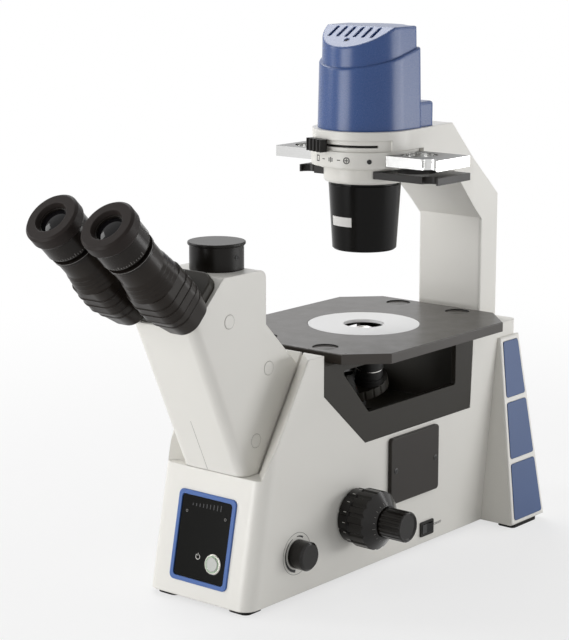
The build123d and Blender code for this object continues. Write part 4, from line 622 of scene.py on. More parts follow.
def grid_faces(rows: int, columns: int, wrap_rows: bool, wrap_columns: bool) -> Array:
    """Four-sided faces between neighbours of a grid of points.

    Args:
        rows: points along the first parameter.
        columns: points along the second parameter.
        wrap_rows: whether the last row joins the first.
        wrap_columns: whether the last column joins the first.

    Returns:
        Point numbers, four to a face.
    """
    steps = np.arange(rows - (not wrap_rows)), np.arange(columns - (not wrap_columns))
    i, j = np.meshgrid(*steps, indexing="ij")
    below, beside = (i + 1) % rows, (j + 1) % columns
    faces = [i * columns + j, below * columns + j, below * columns + beside, i * columns + beside]
    return np.stack(faces, -1).reshape(-1, 4)


def section_faces(count: int, closed: bool = False) -> list[list[int]]:
    """Faces of a row of four-cornered sections, with an end face at both ends unless it comes full circle."""
    ends = [] if closed else [[0, 1, 2, 3], [4 * count - step for step in (1, 2, 3, 4)]]
    return grid_faces(count, 4, False, True).tolist() + ends


def new_object(name: str, data: bpy.types.ID) -> bpy.types.Object:
    """Put a mesh, light or camera into the scene.

    Args:
        name: name of the object.
        data: what it shows.

    Returns:
        The object.
    """
    made = bpy.data.objects.new(name, data)
    bpy.context.scene.collection.objects.link(made)
    return made


def make_piece(name: str, surface: Surface, finish: Finish, body: Body = Body.STAND) -> None:
    """Put a computed surface into the scene as one piece.

    Args:
        name: the piece's name.
        surface: its points, in metres, and the point numbers of each face.
        finish: its finish.
        body: the rigid body it rides on.
    """
    points, faces = surface
    mesh = bpy.data.meshes.new(name)
    mesh.from_pydata(points.reshape(-1, 3).tolist(), [], [list(face) for face in faces])
    shell = bmesh.new()
    shell.from_mesh(mesh)
    bmesh.ops.remove_doubles(shell, verts=shell.verts, dist=SEAM_GAP)
    bmesh.ops.recalc_face_normals(shell, faces=shell.faces)
    shell.to_mesh(mesh)
    shell.free()
    mesh.polygons.foreach_set("use_smooth", np.ones(len(mesh.polygons), bool))
    mesh.set_sharp_from_angle(angle=SHARP_EDGE)
    mesh.materials.append(finish.value.material())
    piece = new_object(name, mesh)
    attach(piece, body.value)
    LOG.info("%s rides on %s in %s", name, body.value, finish.name.lower())


def even_angles(count: int) -> Array:
    """Angles of a whole turn in even steps."""
    return np.linspace(0.0, FULL_TURN, count, endpoint=False)


def lathe(place: Place, profile: Sequence[Pair], segments: int) -> Surface:
    """Surface of revolution of a closed profile about the place's third axis.

    Args:
        place: its axis runs along out.
        profile: (radius, along) of each corner, joined up at the end unless both ends lie on the axis.
        segments: steps round the axis.

    Returns:
        Points (radius cos t, radius sin t, along) for each t and corner, and the faces.
    """
    corners = np.array(profile, float)
    angle = even_angles(segments)[:, None]
    points = place.at(corners[:, 0] * np.cos(angle), corners[:, 0] * np.sin(angle), corners[:, 1])
    return points, grid_faces(segments, len(corners), True, bool(corners[[0, -1], 0].any()))


def hoop(place: Place, radii: Pair, rows: Pair) -> Surface:
    """Ring of rectangular section between two radii and two heights, about the place's third axis."""
    (inner, outer), (low, high) = radii, rows
    return lathe(place, [(inner, low), (outer, low), (outer, high), (inner, high)], WIDE_ROUND)


def sizes(width: Numbers, height: Numbers, thickness: float) -> Array:
    """Width, height and thickness of blocks, one row each."""
    return np.stack(np.broadcast_arrays(width, height, thickness), -1)


def bars(centres: Array, across: Array, up: Array, out: Array, size: Array) -> Surface:
    """Many small blocks.

    Args:
        centres: middle of each block's underside, one row each.
        across: first axis of each block.
        up: second axis of each block.
        out: third axis of each block.
        size: width, height and thickness of each block.

    Returns:
        Eight points a block, centre + x across + y up + z out with x and y at half a size, and the faces.
    """
    x = np.array([-0.5, 0.5, 0.5, -0.5] * 2)
    y = np.array([-0.5, -0.5, 0.5, 0.5] * 2)
    z = np.repeat([0.0, 1.0], 4)
    size = np.broadcast_to(size, (len(centres), 3))
    points = (centres[:, None] + (size[:, :1] * x)[..., None] * across[:, None]
              + (size[:, 1:2] * y)[..., None] * up[:, None] + (size[:, 2:] * z)[..., None] * out[:, None])
    block = np.array([[0, 3, 2, 1], [4, 5, 6, 7], [0, 1, 5, 4], [1, 2, 6, 5], [2, 3, 7, 6], [3, 0, 4, 7]])
    return points, (np.arange(len(centres))[:, None, None] * 8 + block).reshape(-1, 4)


def flat_bars(place: Place, x: Numbers, y: Numbers, angle: Numbers, size: Array) -> Surface:
    """Small blocks that lie on a place's plane.

    Args:
        place: the plane.
        x: middle of each block along across.
        y: middle of each block along up.
        angle: turn of each block from across towards up, in radians.
        size: width, height and thickness of each block.

    Returns:
        Points and faces of the blocks.
    """
    x, y, angle = np.broadcast_arrays(np.atleast_1d(x), y, angle)
    across = place.way(np.cos(angle), np.sin(angle), 0.0)
    up = place.way(-np.sin(angle), np.cos(angle), 0.0)
    return bars(place.at(x, y, 0.0), across, up, np.broadcast_to(place.out, up.shape), size)


def round_the_axis(place: Place, radius: float, along: Numbers, angles: Array) -> tuple[Array, ...]:
    """Spots on a cylinder about the place's third axis.

    Args:
        place: its axis runs along out.
        radius: of the cylinder.
        along: distance of the spots along the axis.
        angles: of the spots, in radians from across towards up.

    Returns:
        The spots, and for each the direction round, along and away from the axis.
    """
    spots = place.at(radius * np.cos(angles), radius * np.sin(angles), along)
    away = place.way(np.cos(angles), np.sin(angles), 0.0)
    axis = np.broadcast_to(place.out, away.shape)
    return spots, np.cross(axis, away), axis, away


def strokes_round(place: Place, radius: float, along: Numbers, angles: Array, size: Array) -> Surface:
    """Strokes on a cylinder about the place's third axis, their widths round it and heights along it."""
    return bars(*round_the_axis(place, radius, along, angles), size)


def arc(place: Place, radius: float, width: Numbers, angle: Array, thickness: float) -> Surface:
    """Flat printed arc round the place's third axis.

    Args:
        place: centre and plane of the arc.
        radius: of its middle line.
        width: at each angle, or everywhere.
        angle: in radians, from across towards up.
        thickness: of the layer.

    Returns:
        Four points a step, at radius plus or minus half the width and at both heights, and the faces.
    """
    width = np.broadcast_to(width, angle.shape)
    inner, outer = radius - width / 2, radius + width / 2
    reach = np.stack([inner, outer, outer, inner], -1)
    height = np.array([0.0, 0.0, thickness, thickness])
    points = place.at(reach * np.cos(angle)[:, None], reach * np.sin(angle)[:, None], height)
    return points, section_faces(len(angle), math.isclose(abs(angle[-1] - angle[0]), FULL_TURN))


def ring(place: Place, radius: float, width: float, thickness: float, steps: int) -> Surface:
    """Flat printed ring: an arc of even width that comes full circle."""
    return arc(place, radius, width, np.linspace(0.0, FULL_TURN, steps + 1), thickness)


@dataclass
class Assembly:
    """A sub-assembly: the sizes of its small pieces and the finish of each of its solids."""

    finishes: ClassVar[Finishes] = {}

    def build(self) -> None:
        """Build the small pieces, which each sub-assembly does in its own way."""
        raise NotImplementedError

    def dress(self) -> None:
        """Give each solid of the sub-assembly its finish."""
        for finish, nodes in self.finishes.items():
            for node in nodes:
                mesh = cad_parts[node].data
                mesh.materials.clear()
                mesh.materials.append(finish.value.material())


@dataclass
class Base(Assembly):
    """Casting, flared legs with their inlays, feet, side cover, switches and the inlet of the stand."""

    finishes: ClassVar[Finishes] = {
        Finish.WHITE: ("base_casting", "right_leg", "left_leg"),
        Finish.BLACK_ENAMEL: ("base_plate",),
        Finish.LEG_PANEL: ("leg_panels",),
        Finish.FOOT: ("feet",),
        Finish.COVER: ("side_cover",),
        Finish.KNOB: ("brightness_knob",),
        Finish.BLACK: ("rocker_frame", "power_inlet"),
        Finish.GLOSS: ("rocker",),
        Finish.MIRROR: ("relay_mirrors",),
        Finish.ALUMINIUM: ("mirror_posts",),
    }
    ink: float = 0.00012
    cover_screws: tuple[Point, ...] = ((0.066, -0.0334, 0.0912), (0.066, 0.0318, 0.0909))
    screw_radius: float = 0.0028
    screw_rise: float = 0.0006
    screw_profile: Profile = ((0.0, 0.0), (1.12, 0.0), (1.12, 1 / 6), (0.95, 0.7), (0.6, 1.0), (0.0, 1.0))
    cross_turn: float = 0.5
    cross_size: Point = (0.00308, 0.000728, 0.00018)
    cross_sunk: float = 0.0001
    dimmer_axle: Point = (0.062, -0.18, 0.0445)
    ring_radius: float = 0.0198
    ring_width: float = 0.0004
    arc_radius: float = 0.0163
    arc_points: int = 61
    arc_sweeps: Profile = ((262.0, 112.0), (90.0, 58.0))
    arc_widths: Profile = ((0.0028, 0.0005), (0.0008, 0.0018))
    label_middle: Point = (0.062, 0.0428, 0.0203)
    letter_height: float = 0.0026
    letter_line: float = 0.0005
    o_places: Pair = (-0.0047, 0.0011)
    n_middle: float = -0.0019
    n_half: float = 0.0009
    n_slant: float = 0.42
    slant_share: float = 1.05
    f_places: Pair = (0.0029, 0.0049)
    f_arm: float = 0.55
    f_arms: Profile = ((0.0006, 0.4), (0.0005, 0.0))

    def build(self) -> None:
        """Build the screws, the printed scale and the switch's label."""
        self.build_screws()
        self.build_scale()
        self.build_label()

    def build_screws(self) -> None:
        """Two cross-recessed screws of the side cover: a low lathe profile with a cross of bars sunk in,
        painted near black as the shade in the recess.
        """
        head = np.array(self.screw_profile) * (self.screw_radius, self.screw_rise)
        angle = self.cross_turn + np.array([0.0, QUARTER_TURN])
        for number, spot in enumerate(self.cover_screws, 1):
            place = Place.facing(spot, X_AXIS, Y_AXIS)
            make_piece(f"cover_screw_{number}", lathe(place, head, SIGN_ROUND), Finish.SCREW)
            # Painted shade: the cross recess is a near-black cross of bars.
            floor = place.shifted(0.0, 0.0, self.screw_rise - self.cross_sunk)
            cross = flat_bars(floor, 0.0, 0.0, angle, self.cross_size)
            make_piece(f"cover_screw_cross_shade_{number}", cross, Finish.DARK_SCREW_AND_SHADE)

    def build_scale(self) -> None:
        """Printed ring round the brightness knob, and inside it an arc that tapers with the angle."""
        place = Place.facing(self.dimmer_axle, X_AXIS, Y_AXIS)
        border = ring(place, self.ring_radius, self.ring_width, self.ink, SCALE_ROUND)
        make_piece("brightness_ring", border, Finish.GREY_INK)
        for name, ends, widths in zip(("arc", "end"), self.arc_sweeps, self.arc_widths):
            sweep = np.radians(np.linspace(*ends, self.arc_points))
            taper = arc(place, self.arc_radius, np.linspace(*widths, self.arc_points), sweep, self.ink)
            make_piece(f"brightness_{name}", taper, Finish.BLACK_INK)

    def build_label(self) -> None:
        """ON and OFF beside the rocker: rings for the round letters and straight strokes for the others."""
        place = Place.facing(self.label_middle, X_AXIS, Y_AXIS)
        tall, line = self.letter_height, self.letter_line
        upright, bar, slant = (line, tall), (tall * self.f_arm, line), (line, tall * self.slant_share)
        strokes = [(self.n_middle - self.n_half, 0.0, 0.0, *upright),
                   (self.n_middle, 0.0, self.n_slant, *slant),
                   (self.n_middle + self.n_half, 0.0, 0.0, *upright)]
        for start in self.f_places:
            strokes.append((start, 0.0, 0.0, *upright))
            strokes += [(start + shift, tall * share, 0.0, *bar) for shift, share in self.f_arms]
        x, y, angle, width, height = np.array(strokes).T
        letters = flat_bars(place, x, y, angle, sizes(width, height, self.ink))
        make_piece("switch_label", letters, Finish.GREY_INK)
        for number, start in enumerate(self.o_places, 1):
            letter = ring(place.shifted(start, 0.0, 0.0), (tall - line) / 2, line, self.ink, SMALL_ROUND)
            make_piece(f"switch_label_ring_{number}", letter, Finish.GREY_INK)


@dataclass
class FrontPanel(Assembly):
    """Black panel on the leaning front with its blue bezel, printed scale and lit button."""

    finishes: ClassVar[Finishes] = {
        Finish.BEZEL: ("front_bezel",),
        Finish.PANEL: ("front_panel",),
        Finish.BUTTON: ("button_ring",),
        Finish.BUTTON_FACE: ("power_button",),
    }
    middle: Point = (0.0, -0.23871, 0.060)
    lean: float = math.radians(11.6)
    face: float = 0.0006
    ink: float = 0.0001
    button: Pair = (0.0156, -0.020)
    ring_radii: Pair = (0.0069, 0.0078)
    ring_face: float = 0.0022
    ring_sunk: float = 0.0004
    ring_bulge: float = 0.00018
    tick_count: int = 9
    tick_pitch: float = 0.0042
    tick_row: float = 0.0285
    tick_width: float = 0.0008
    tick_heights: Pair = (0.0022, 0.0056)
    dot_place: Pair = (0.0232, 0.0225)
    dot_radius: float = 0.0011
    dot_width: float = 0.0004
    sign_middle: Pair = (-0.0035, -0.0165)
    sign_radius: float = 0.0024
    sign_line: float = 0.0006
    sign_sweep: Pair = (125.0, 415.0)
    sign_bar_row: float = 0.0022
    sign_bar_height: float = 0.0026

    def place(self, x: float, y: float, out: float) -> Place:
        """Place over the panel's middle plane, x to the right and y up the slope."""
        normal = (0.0, -math.cos(self.lean), math.sin(self.lean))
        return Place.facing(self.middle, normal, X_AXIS).shifted(x, y, out)

    def build(self) -> None:
        """Build the printed ticks, the corner dots, the power sign and the button's lit ring."""
        x = (np.arange(self.tick_count) - (self.tick_count - 1) / 2) * self.tick_pitch
        height = np.linspace(*self.tick_heights, self.tick_count)
        size = sizes(self.tick_width, height, self.ink)
        ticks = flat_bars(self.place(0.0, 0.0, self.face), x, self.tick_row + height / 2, 0.0, size)
        make_piece("panel_ticks", ticks, Finish.DIM_INK)
        for side, hand in ((-1, "left"), (1, "right")):
            spot = self.place(side * self.dot_place[0], self.dot_place[1], self.face)
            dot = ring(spot, self.dot_radius, self.dot_width, self.ink, SMALL_ROUND)
            make_piece(f"panel_dot_{hand}", dot, Finish.GREY_INK)
        self.build_power_sign()
        self.build_light_ring()

    def build_power_sign(self) -> None:
        """The usual power sign beside the button: an open ring with a bar in its gap."""
        sign = self.place(*self.sign_middle, self.face)
        sweep = np.radians(np.linspace(*self.sign_sweep, OPEN_ROUND))
        gapped = arc(sign, self.sign_radius, self.sign_line, sweep, self.ink)
        make_piece("power_sign_ring", gapped, Finish.WHITE_INK)
        size = sizes(self.sign_line, self.sign_bar_height, self.ink)
        bar = flat_bars(sign, 0.0, self.sign_bar_row, 0.0, size)
        make_piece("power_sign_bar", bar, Finish.WHITE_INK)

    def build_light_ring(self) -> None:
        """Lit ring round the button: a lathe profile that rises to its middle radius."""
        inner, outer = self.ring_radii
        crest = ((inner + outer) / 2, self.ring_bulge)
        profile = [(inner, -self.ring_sunk), (outer, -self.ring_sunk), (outer, 0.0), crest, (inner, 0.0)]
        lit = lathe(self.place(*self.button, self.ring_face), profile, WIDE_ROUND)
        make_piece("button_light_ring", lit, Finish.GREEN_LIGHT)


@dataclass
class TrinocularHead(Assembly):
    """Neck with its plugs, seam, photo tube and cap."""

    finishes: ClassVar[Finishes] = {
        Finish.WHITE: ("head_housing", "head_plugs"),
        Finish.TUBE: ("photo_tube",),
        Finish.CAP: ("photo_cap",),
        Finish.BLACK_ENAMEL: ("bino_mount",),
        Finish.LENS: ("tube_lens", "head_prism"),
    }
    seam_x: float = -0.005
    seam_width: float = 0.0004
    seam_share: float = 0.34
    seam_start: float = 0.001
    seam_depth: float = 0.00008
    front_foot: Pair = (-0.22609, 0.1219)
    front_top: Pair = (-0.292, 0.267)
    hole_middle: Point = (0.0, -0.2177, 0.3205)
    hole_reach: float = 0.0244
    hole_angle: float = -2.0
    hole_profile: Profile = (
        (0.0, 0.0), (0.0021, 0.0), (0.0021, 0.0006), (0.0015, 0.0006), (0.0013, 0.00025), (0.0, 0.00025))
    side_face: float = 0.0375
    plug_places: Profile = ((-0.244, 0.268), (-0.1905, 0.217), (-0.2085, 0.153))
    rim_radius: float = 0.0064
    rim_width: float = 0.00035
    rim_swing: float = 0.00025
    rim_depth: float = 0.0001

    def build(self) -> None:
        """Build the painted shadow line of the seam low on the neck's front, the dark screw of the cap and
        the painted shadow rims of the plugs.
        """
        foot, top = np.array(self.front_foot), np.array(self.front_top)
        span = np.linalg.norm(top - foot)
        slope = (top - foot) / span
        length = span * self.seam_share
        middle = foot + slope * (self.seam_start + length / 2)
        place = Place.facing((self.seam_x, *middle), (0.0, -slope[1], slope[0]), X_AXIS)
        # Painted shadow: a grey line along the seam low on the neck's front.
        seam = flat_bars(place, 0.0, 0.0, 0.0, sizes(self.seam_width, length, self.seam_depth))
        make_piece("neck_seam", seam, Finish.SEAM)
        hole = Place.on_cylinder(self.hole_middle, self.hole_reach, self.hole_angle)
        screw = lathe(hole, self.hole_profile, SMALL_ROUND)
        make_piece("cap_screw", screw, Finish.DARK_SCREW_AND_SHADE, Body.CAP)
        self.build_plug_rims()

    def build_plug_rims(self) -> None:
        """Shadow line round each plug: a flat ring, wider to the rear by the cosine of its angle."""
        turn = np.linspace(0.0, FULL_TURN, OPEN_ROUND)
        width = self.rim_width + self.rim_swing * np.cos(turn)
        for side, hand in ((1, "right"), (-1, "left")):
            for number, spot in enumerate(self.plug_places, 1):
                place = Place.facing((side * self.side_face, *spot), (side, 0.0, 0.0), Y_AXIS)
                rim = arc(place, self.rim_radius, width, turn, self.rim_depth)
                make_piece(f"{hand}_plug_rim_{number}", rim, Finish.SEAM)


@dataclass
class Oculars(Assembly):
    """Two swinging arms with their eyepieces, dioptre rings and eyecups."""

    finishes: ClassVar[Finishes] = {
        Finish.SOFT_BLACK: ("right_arm", "left_arm"),
        Finish.OCULAR: ("right_eyepiece", "left_eyepiece", "right_diopter_ring", "left_diopter_ring"),
        Finish.RUBBER: ("right_eyecup", "left_eyecup"),
        Finish.EYE_LENS: ("right_eye_lens", "left_eye_lens"),
    }
    tube_origin: Point = (0.0, -0.2715, 0.2875)
    tube_angle: float = math.radians(45.0)
    half_spacing: float = 0.0323
    drop: float = 0.024
    scale_radius: float = 0.02335
    scale_row: float = 0.1122
    scale_reach: int = 10
    scale_step: float = 6.0
    scale_middle: float = -70.0
    scale_lengths: Pair = (0.0030, 0.0017)
    scale_width: float = 0.0004
    ink: float = 0.00012
    collar_radius: float = 0.0224
    collar_row: float = 0.1056
    collar_profile: Profile = ((-0.0003, 0.0), (0.00012, 0.0001), (0.00012, 0.0004), (-0.0003, 0.0005))

    def axis(self, side: int) -> Place:
        """Place on a tube's axis in the tube plane: out runs up the tube."""
        out = (0.0, -math.sin(self.tube_angle), math.cos(self.tube_angle))
        plane = Place.facing(self.tube_origin, out, X_AXIS)
        return plane.shifted(side * self.half_spacing, -self.drop, 0.0)

    def build(self) -> None:
        """Build the printed dioptre scale and the painted highlight on the collar edge of both eyepieces."""
        for side, hand in ((1, "right"), (-1, "left")):
            place, arm, diopter = self.axis(side), Body(f"{hand}_arm"), Body(f"{hand}_diopter")
            make_piece(f"{hand}_diopter_scale", self.scale(place), Finish.GREY_INK, diopter)
            # Painted highlight: a grey line on the collar edge.
            make_piece(f"{hand}_collar_highlight_line", self.collar(place), Finish.GREY_INK, arm)

    def scale(self, place: Place) -> Surface:
        """Printed dioptre marks, every fifth stroke longer than the others.

        Args:
            place: the tube's axis.

        Returns:
            Points and faces of the strokes.
        """
        steps = np.arange(-self.scale_reach, self.scale_reach + 1)
        angles = np.radians(steps * self.scale_step + self.scale_middle)
        length = np.where(steps % LONG_EVERY == 0, *self.scale_lengths)
        size = sizes(self.scale_width, length, self.ink)
        return strokes_round(place, self.scale_radius, self.scale_row + length / 2, angles, size)

    def collar(self, place: Place) -> Surface:
        """Painted highlight round the edge of the eyepiece's collar: a low grey ring with sloping sides."""
        profile = np.array(self.collar_profile) + (self.collar_radius, self.collar_row)
        return lathe(place, profile, COLLAR_ROUND)


@dataclass
class FocusDrive(Assembly):
    """Coarse and fine knobs, tension ring, shafts, guide and carriage."""

    finishes: ClassVar[Finishes] = {
        Finish.KNOB: ("coarse_knobs", "fine_knobs", "tension_ring"),
        Finish.BEARING: ("focus_bearings",),
        Finish.AXLE_STEEL: ("pinion_shaft", "fine_shaft"),
        Finish.STEEL_GUIDE: ("focus_guide",),
        Finish.ALUMINIUM: ("focus_carriage",),
    }
    ink: float = 0.00012
    mark_radius: float = 0.02595
    mark_count: int = 16
    mark_row: float = 0.0700
    mark_width: float = 0.0006
    mark_length: float = 0.0032
    cone_count: int = 20
    cone_start: float = 0.16
    cone_radius: float = 0.0181
    cone_row: float = 0.09942
    cone_slope: float = math.atan2(0.009, 0.012)
    cone_lengths: Pair = (0.0030, 0.0018)
    cone_width: float = 0.00045

    def build(self) -> None:
        """Build the printed marks of the tension ring and of the coarse knob's cone."""
        place = Place.facing(FOCUS_AXLE, X_AXIS, Y_AXIS)
        size = sizes(self.mark_width, self.mark_length, self.ink)
        marks = strokes_round(place, self.mark_radius, self.mark_row, even_angles(self.mark_count), size)
        make_piece("tension_ring_marks", marks, Finish.WHITE_INK, Body.TENSION)
        self.build_cone_scale(place)

    def build_cone_scale(self, place: Place) -> None:
        """Short strokes on the cone, square to its slope: along = away cos s - axis sin s.

        Args:
            place: the focus axle.
        """
        angles = even_angles(self.cone_count) + self.cone_start
        spots, around, axis, away = round_the_axis(place, self.cone_radius, self.cone_row, angles)
        along = away * math.cos(self.cone_slope) - axis * math.sin(self.cone_slope)
        out = away * math.sin(self.cone_slope) + axis * math.cos(self.cone_slope)
        length = np.where(np.arange(self.cone_count) % LONG_EVERY == 0, *self.cone_lengths)
        marks = bars(spots, around, along, out, sizes(self.cone_width, length, self.ink))
        make_piece("coarse_knob_scale", marks, Finish.GREY_INK, Body.COARSE)


@dataclass
class Stage(Assembly):
    """Stage plate with its plugs and glass insert, its bracket, the turret and the objectives."""

    finishes: ClassVar[Finishes] = {
        Finish.STAGE: ("stage_plate",),
        Finish.INSERT: ("stage_insert",),
        Finish.BLACK_ENAMEL: ("stage_bracket", "turret"),
        Finish.BARREL: ("objectives",),
    }
    band_finishes: ClassVar[tuple[Finish, ...]] = (
        Finish.YELLOW_BAND, Finish.RED_BAND, Finish.GREEN_BAND, Finish.BLUE_BAND)
    plug_floor: float = 0.2209
    plug_half: Pair = (0.037, 0.1075)
    plug_profile: Profile = ((0.0, 0.0), (0.0122, 0.0), (0.0122, 0.0003), (0.0117, 0.0006), (0.0, 0.0006))
    gap_radii: Pair = (0.0121, 0.0124)
    gap_rows: Pair = (0.0002, 0.00145)
    shoulder: Point = (0.0, 0.0, 0.1775)
    barrel_radii: tuple[float, ...] = (0.014, 0.0126, 0.0132, 0.0136)
    band_rows: tuple[float, ...] = (0.0300, 0.0230, 0.0270, 0.0290)
    band_height: float = 0.0022
    trim_row: float = 0.0160
    trim_height: float = 0.0012
    ring_sunk: float = 0.0003
    ring_rise: float = 0.00015

    def build(self) -> None:
        """Build the plugs of the stage's accessory holes with a painted shade in the gap round each, and the
        objectives' rings.
        """
        corners = ((1, 1), (-1, 1), (1, -1), (-1, -1))
        for number, corner in enumerate(corners, 1):
            x, y = np.multiply(corner, self.plug_half)
            place = Place.facing((x, y, self.plug_floor), Z_AXIS, X_AXIS)
            plug = lathe(place, self.plug_profile, WIDE_ROUND)
            make_piece(f"stage_plug_{number}", plug, Finish.STAGE)
            # Painted shade: a near-black ring stands in the gap round the plug.
            gap = hoop(place, self.gap_radii, self.gap_rows)
            make_piece(f"stage_plug_gap_shade_{number}", gap, Finish.DARK_SCREW_AND_SHADE)
        self.build_bands()

    def build_bands(self) -> None:
        """Colour band and bright trim of each objective: thin rings, turned about the turret's axis."""
        axis = Vector((0.0, -math.sin(TURRET_TILT), math.cos(TURRET_TILT)))
        centre = Vector(TURRET_MIDDLE)
        for i, (row, radius, colour) in enumerate(zip(self.band_rows, self.barrel_radii, self.band_finishes)):
            turn = Matrix.Rotation(i * QUARTER_TURN, 3, axis)
            origin = turn @ (Vector(self.shoulder) - centre) + centre
            place = Place.facing(origin, turn @ Vector(Z_AXIS), turn @ Vector(X_AXIS))
            radii = (radius - self.ring_sunk, radius + self.ring_rise)
            band = hoop(place, radii, (row, row + self.band_height))
            make_piece(f"objective_band_{i + 1}", band, colour, Body.TURRET)
            trim = hoop(place, radii, (self.trim_row, self.trim_row + self.trim_height))
            make_piece(f"objective_trim_{i + 1}", trim, Finish.CHROME, Body.TURRET)


@dataclass
class Condenser(Assembly):
    """Column, carrier, sliders, ring, cup and lenses of the light from above."""

    finishes: ClassVar[Finishes] = {
        Finish.WHITE: ("illumination_arm", "condenser_carrier", "slider_ring"),
        Finish.SLIDER: ("upper_slider",),
        Finish.DARK_SLIDER: ("lower_slider",),
        Finish.BLACK: ("aperture_ring",),
        Finish.CUP: ("condenser_cup",),
        Finish.LENS: ("condenser_lens", "collector_lens"),
    }
    carrier_radius: float = 0.052
    sign_row: float = 0.3892
    ink: float = 0.0001
    frame_angle: float = -111.8
    frame_half: Pair = (0.0019, 0.0030)
    frame_line: float = 0.0009
    dashes: tuple[Point, ...] = ((-101.8, 0.0034, 0.0008), (-81.6, 0.0034, 0.0008), (-93.7, 0.0010, 0.0036),
                                 (-91.7, 0.0010, 0.0050), (-89.7, 0.0010, 0.0036))
    lamp_angle: float = -72.5
    lamp_radius: float = 0.0028
    lamp_line: float = 0.0009
    lamp_lift: float = 0.00002
    lamp_cross: Pair = (0.0040, 0.0008)
    screw_reach: float = 0.0518
    screw_row: float = 0.3885
    screw_angle: float = -48.3
    screw_profile: Profile = (
        (0.0, 0.0), (0.0023, 0.0), (0.0023, 0.0005), (0.0019, 0.0005), (0.0014, 0.0003), (0.0, 0.0003))
    cup_heights: Pair = (0.298, 0.3618)
    cup_radii: Pair = (0.0313, 0.0352)
    label_angles: Pair = (-119.0, -75.0)
    label_heights: Pair = (0.3226, 0.3317)
    label_steps: int = 25
    label_rise: float = 0.00025
    label_sunk: float = 0.0001

    def build(self) -> None:
        """Build the printed signs of the carrier, its set screw and the bare label of the cup."""
        self.build_frame_sign()
        self.strokes("sign_dashes", [(degrees, 0.0, *size) for degrees, *size in self.dashes])
        self.build_lamp_sign()
        socket = Place.on_cylinder((0.0, 0.0, self.screw_row), self.screw_reach, self.screw_angle)
        screw = lathe(socket, self.screw_profile, SMALL_ROUND)
        make_piece("carrier_set_screw", screw, Finish.DARK_SCREW_AND_SHADE)
        self.build_cup_label()

    def strokes(self, name: str, marks: Sequence[Sequence[float]]) -> None:
        """Printed strokes on the carrier.

        Args:
            name: name of the piece.
            marks: angle in degrees, height over the row of signs, width and length of each stroke.
        """
        degrees, rise, width, length = np.array(marks).T
        axis = Place.facing(ORIGIN, Z_AXIS, X_AXIS)
        size = sizes(width, length, self.ink)
        printed = strokes_round(axis, self.carrier_radius, self.sign_row + rise, np.radians(degrees), size)
        make_piece(name, printed, Finish.BLACK_INK)

    def build_frame_sign(self) -> None:
        """Outline of a diaphragm: a small upright frame of four strokes."""
        (half, tall), line = self.frame_half, self.frame_line
        step = math.degrees(half / self.carrier_radius)
        rise = tall - line / 2
        sides = [(self.frame_angle + side * step, 0.0, line, 2 * tall) for side in (-1, 1)]
        ends = [(self.frame_angle, end * rise, 2 * half, line) for end in (1, -1)]
        self.strokes("sign_frame", sides + ends)

    def build_lamp_sign(self) -> None:
        """Round sign: a ring with a cross in it."""
        reach = self.carrier_radius + self.lamp_lift
        sign = Place.on_cylinder((0.0, 0.0, self.sign_row), reach, self.lamp_angle)
        border = ring(sign, self.lamp_radius, self.lamp_line, self.ink, SIGN_ROUND)
        make_piece("sign_lamp", border, Finish.BLACK_INK)
        cross = [(self.lamp_angle, 0.0, *size) for size in (self.lamp_cross, self.lamp_cross[::-1])]
        self.strokes("sign_lamp_cross", cross)

    def build_cup_label(self) -> None:
        """Bare label on the cup: a patch that follows the cone, its radius in step with height."""
        angle = np.radians(np.linspace(*self.label_angles, self.label_steps))[:, None]
        height = np.array(self.label_heights)[[0, 1, 1, 0]]
        skin = np.array([self.label_rise, self.label_rise, -self.label_sunk, -self.label_sunk])
        radius = np.interp(height, self.cup_heights, self.cup_radii) + skin
        axis = Place.facing(ORIGIN, Z_AXIS, X_AXIS)
        points = axis.at(radius * np.cos(angle), radius * np.sin(angle), height)
        make_piece("cup_label", (points, section_faces(self.label_steps)), Finish.LABEL)


@dataclass
class Lamp(Assembly):
    """Blue lamp housing with its screw and the lamp inside."""

    finishes: ClassVar[Finishes] = {
        Finish.LAMP: ("lamp_housing",),
        Finish.ALUMINIUM: ("led_module", "heat_sink"),
    }
    slope_origin: Point = (0.0, -0.008, 0.513)
    slope_out: Point = (0.0, -0.021, 0.038)
    screw_down: float = 0.025
    screw_sunk: float = 0.0016
    screw_radius: float = 0.0026
    screw_profile: Profile = (
        (0.0, 0.0), (0.92, 0.0), (0.92, 0.0009), (0.45, 0.0010), (0.42, 0.0004), (0.0, 0.0004))

    def build(self) -> None:
        """Build the screw sunk in the sloping top, its profile's radii in shares of the screw's own."""
        slope = Place.facing(self.slope_origin, self.slope_out, X_AXIS)
        place = slope.shifted(0.0, -self.screw_down, -self.screw_sunk)
        profile = np.array(self.screw_profile) * (self.screw_radius, 1.0)
        make_piece("lamp_screw", lathe(place, profile, SMALL_ROUND), Finish.DARK_SCREW_AND_SHADE)


@dataclass(frozen=True)
class SoftLight:
    """A soft rectangular light: its name, spot, target, width and height, and power in watts."""

    name: str
    spot: Point
    target: Point
    size: Pair
    power: float

    def hang(self) -> None:
        """Put the light into the scene, facing its target."""
        data = bpy.data.lights.new(self.name, "AREA")
        data.shape = "RECTANGLE"
        data.size, data.size_y = self.size
        data.energy = self.power
        lamp = new_object(self.name, data)
        lamp.location = self.spot
        lamp.rotation_euler = (Vector(self.target) - Vector(self.spot)).to_track_quat("-Z", "Y").to_euler()


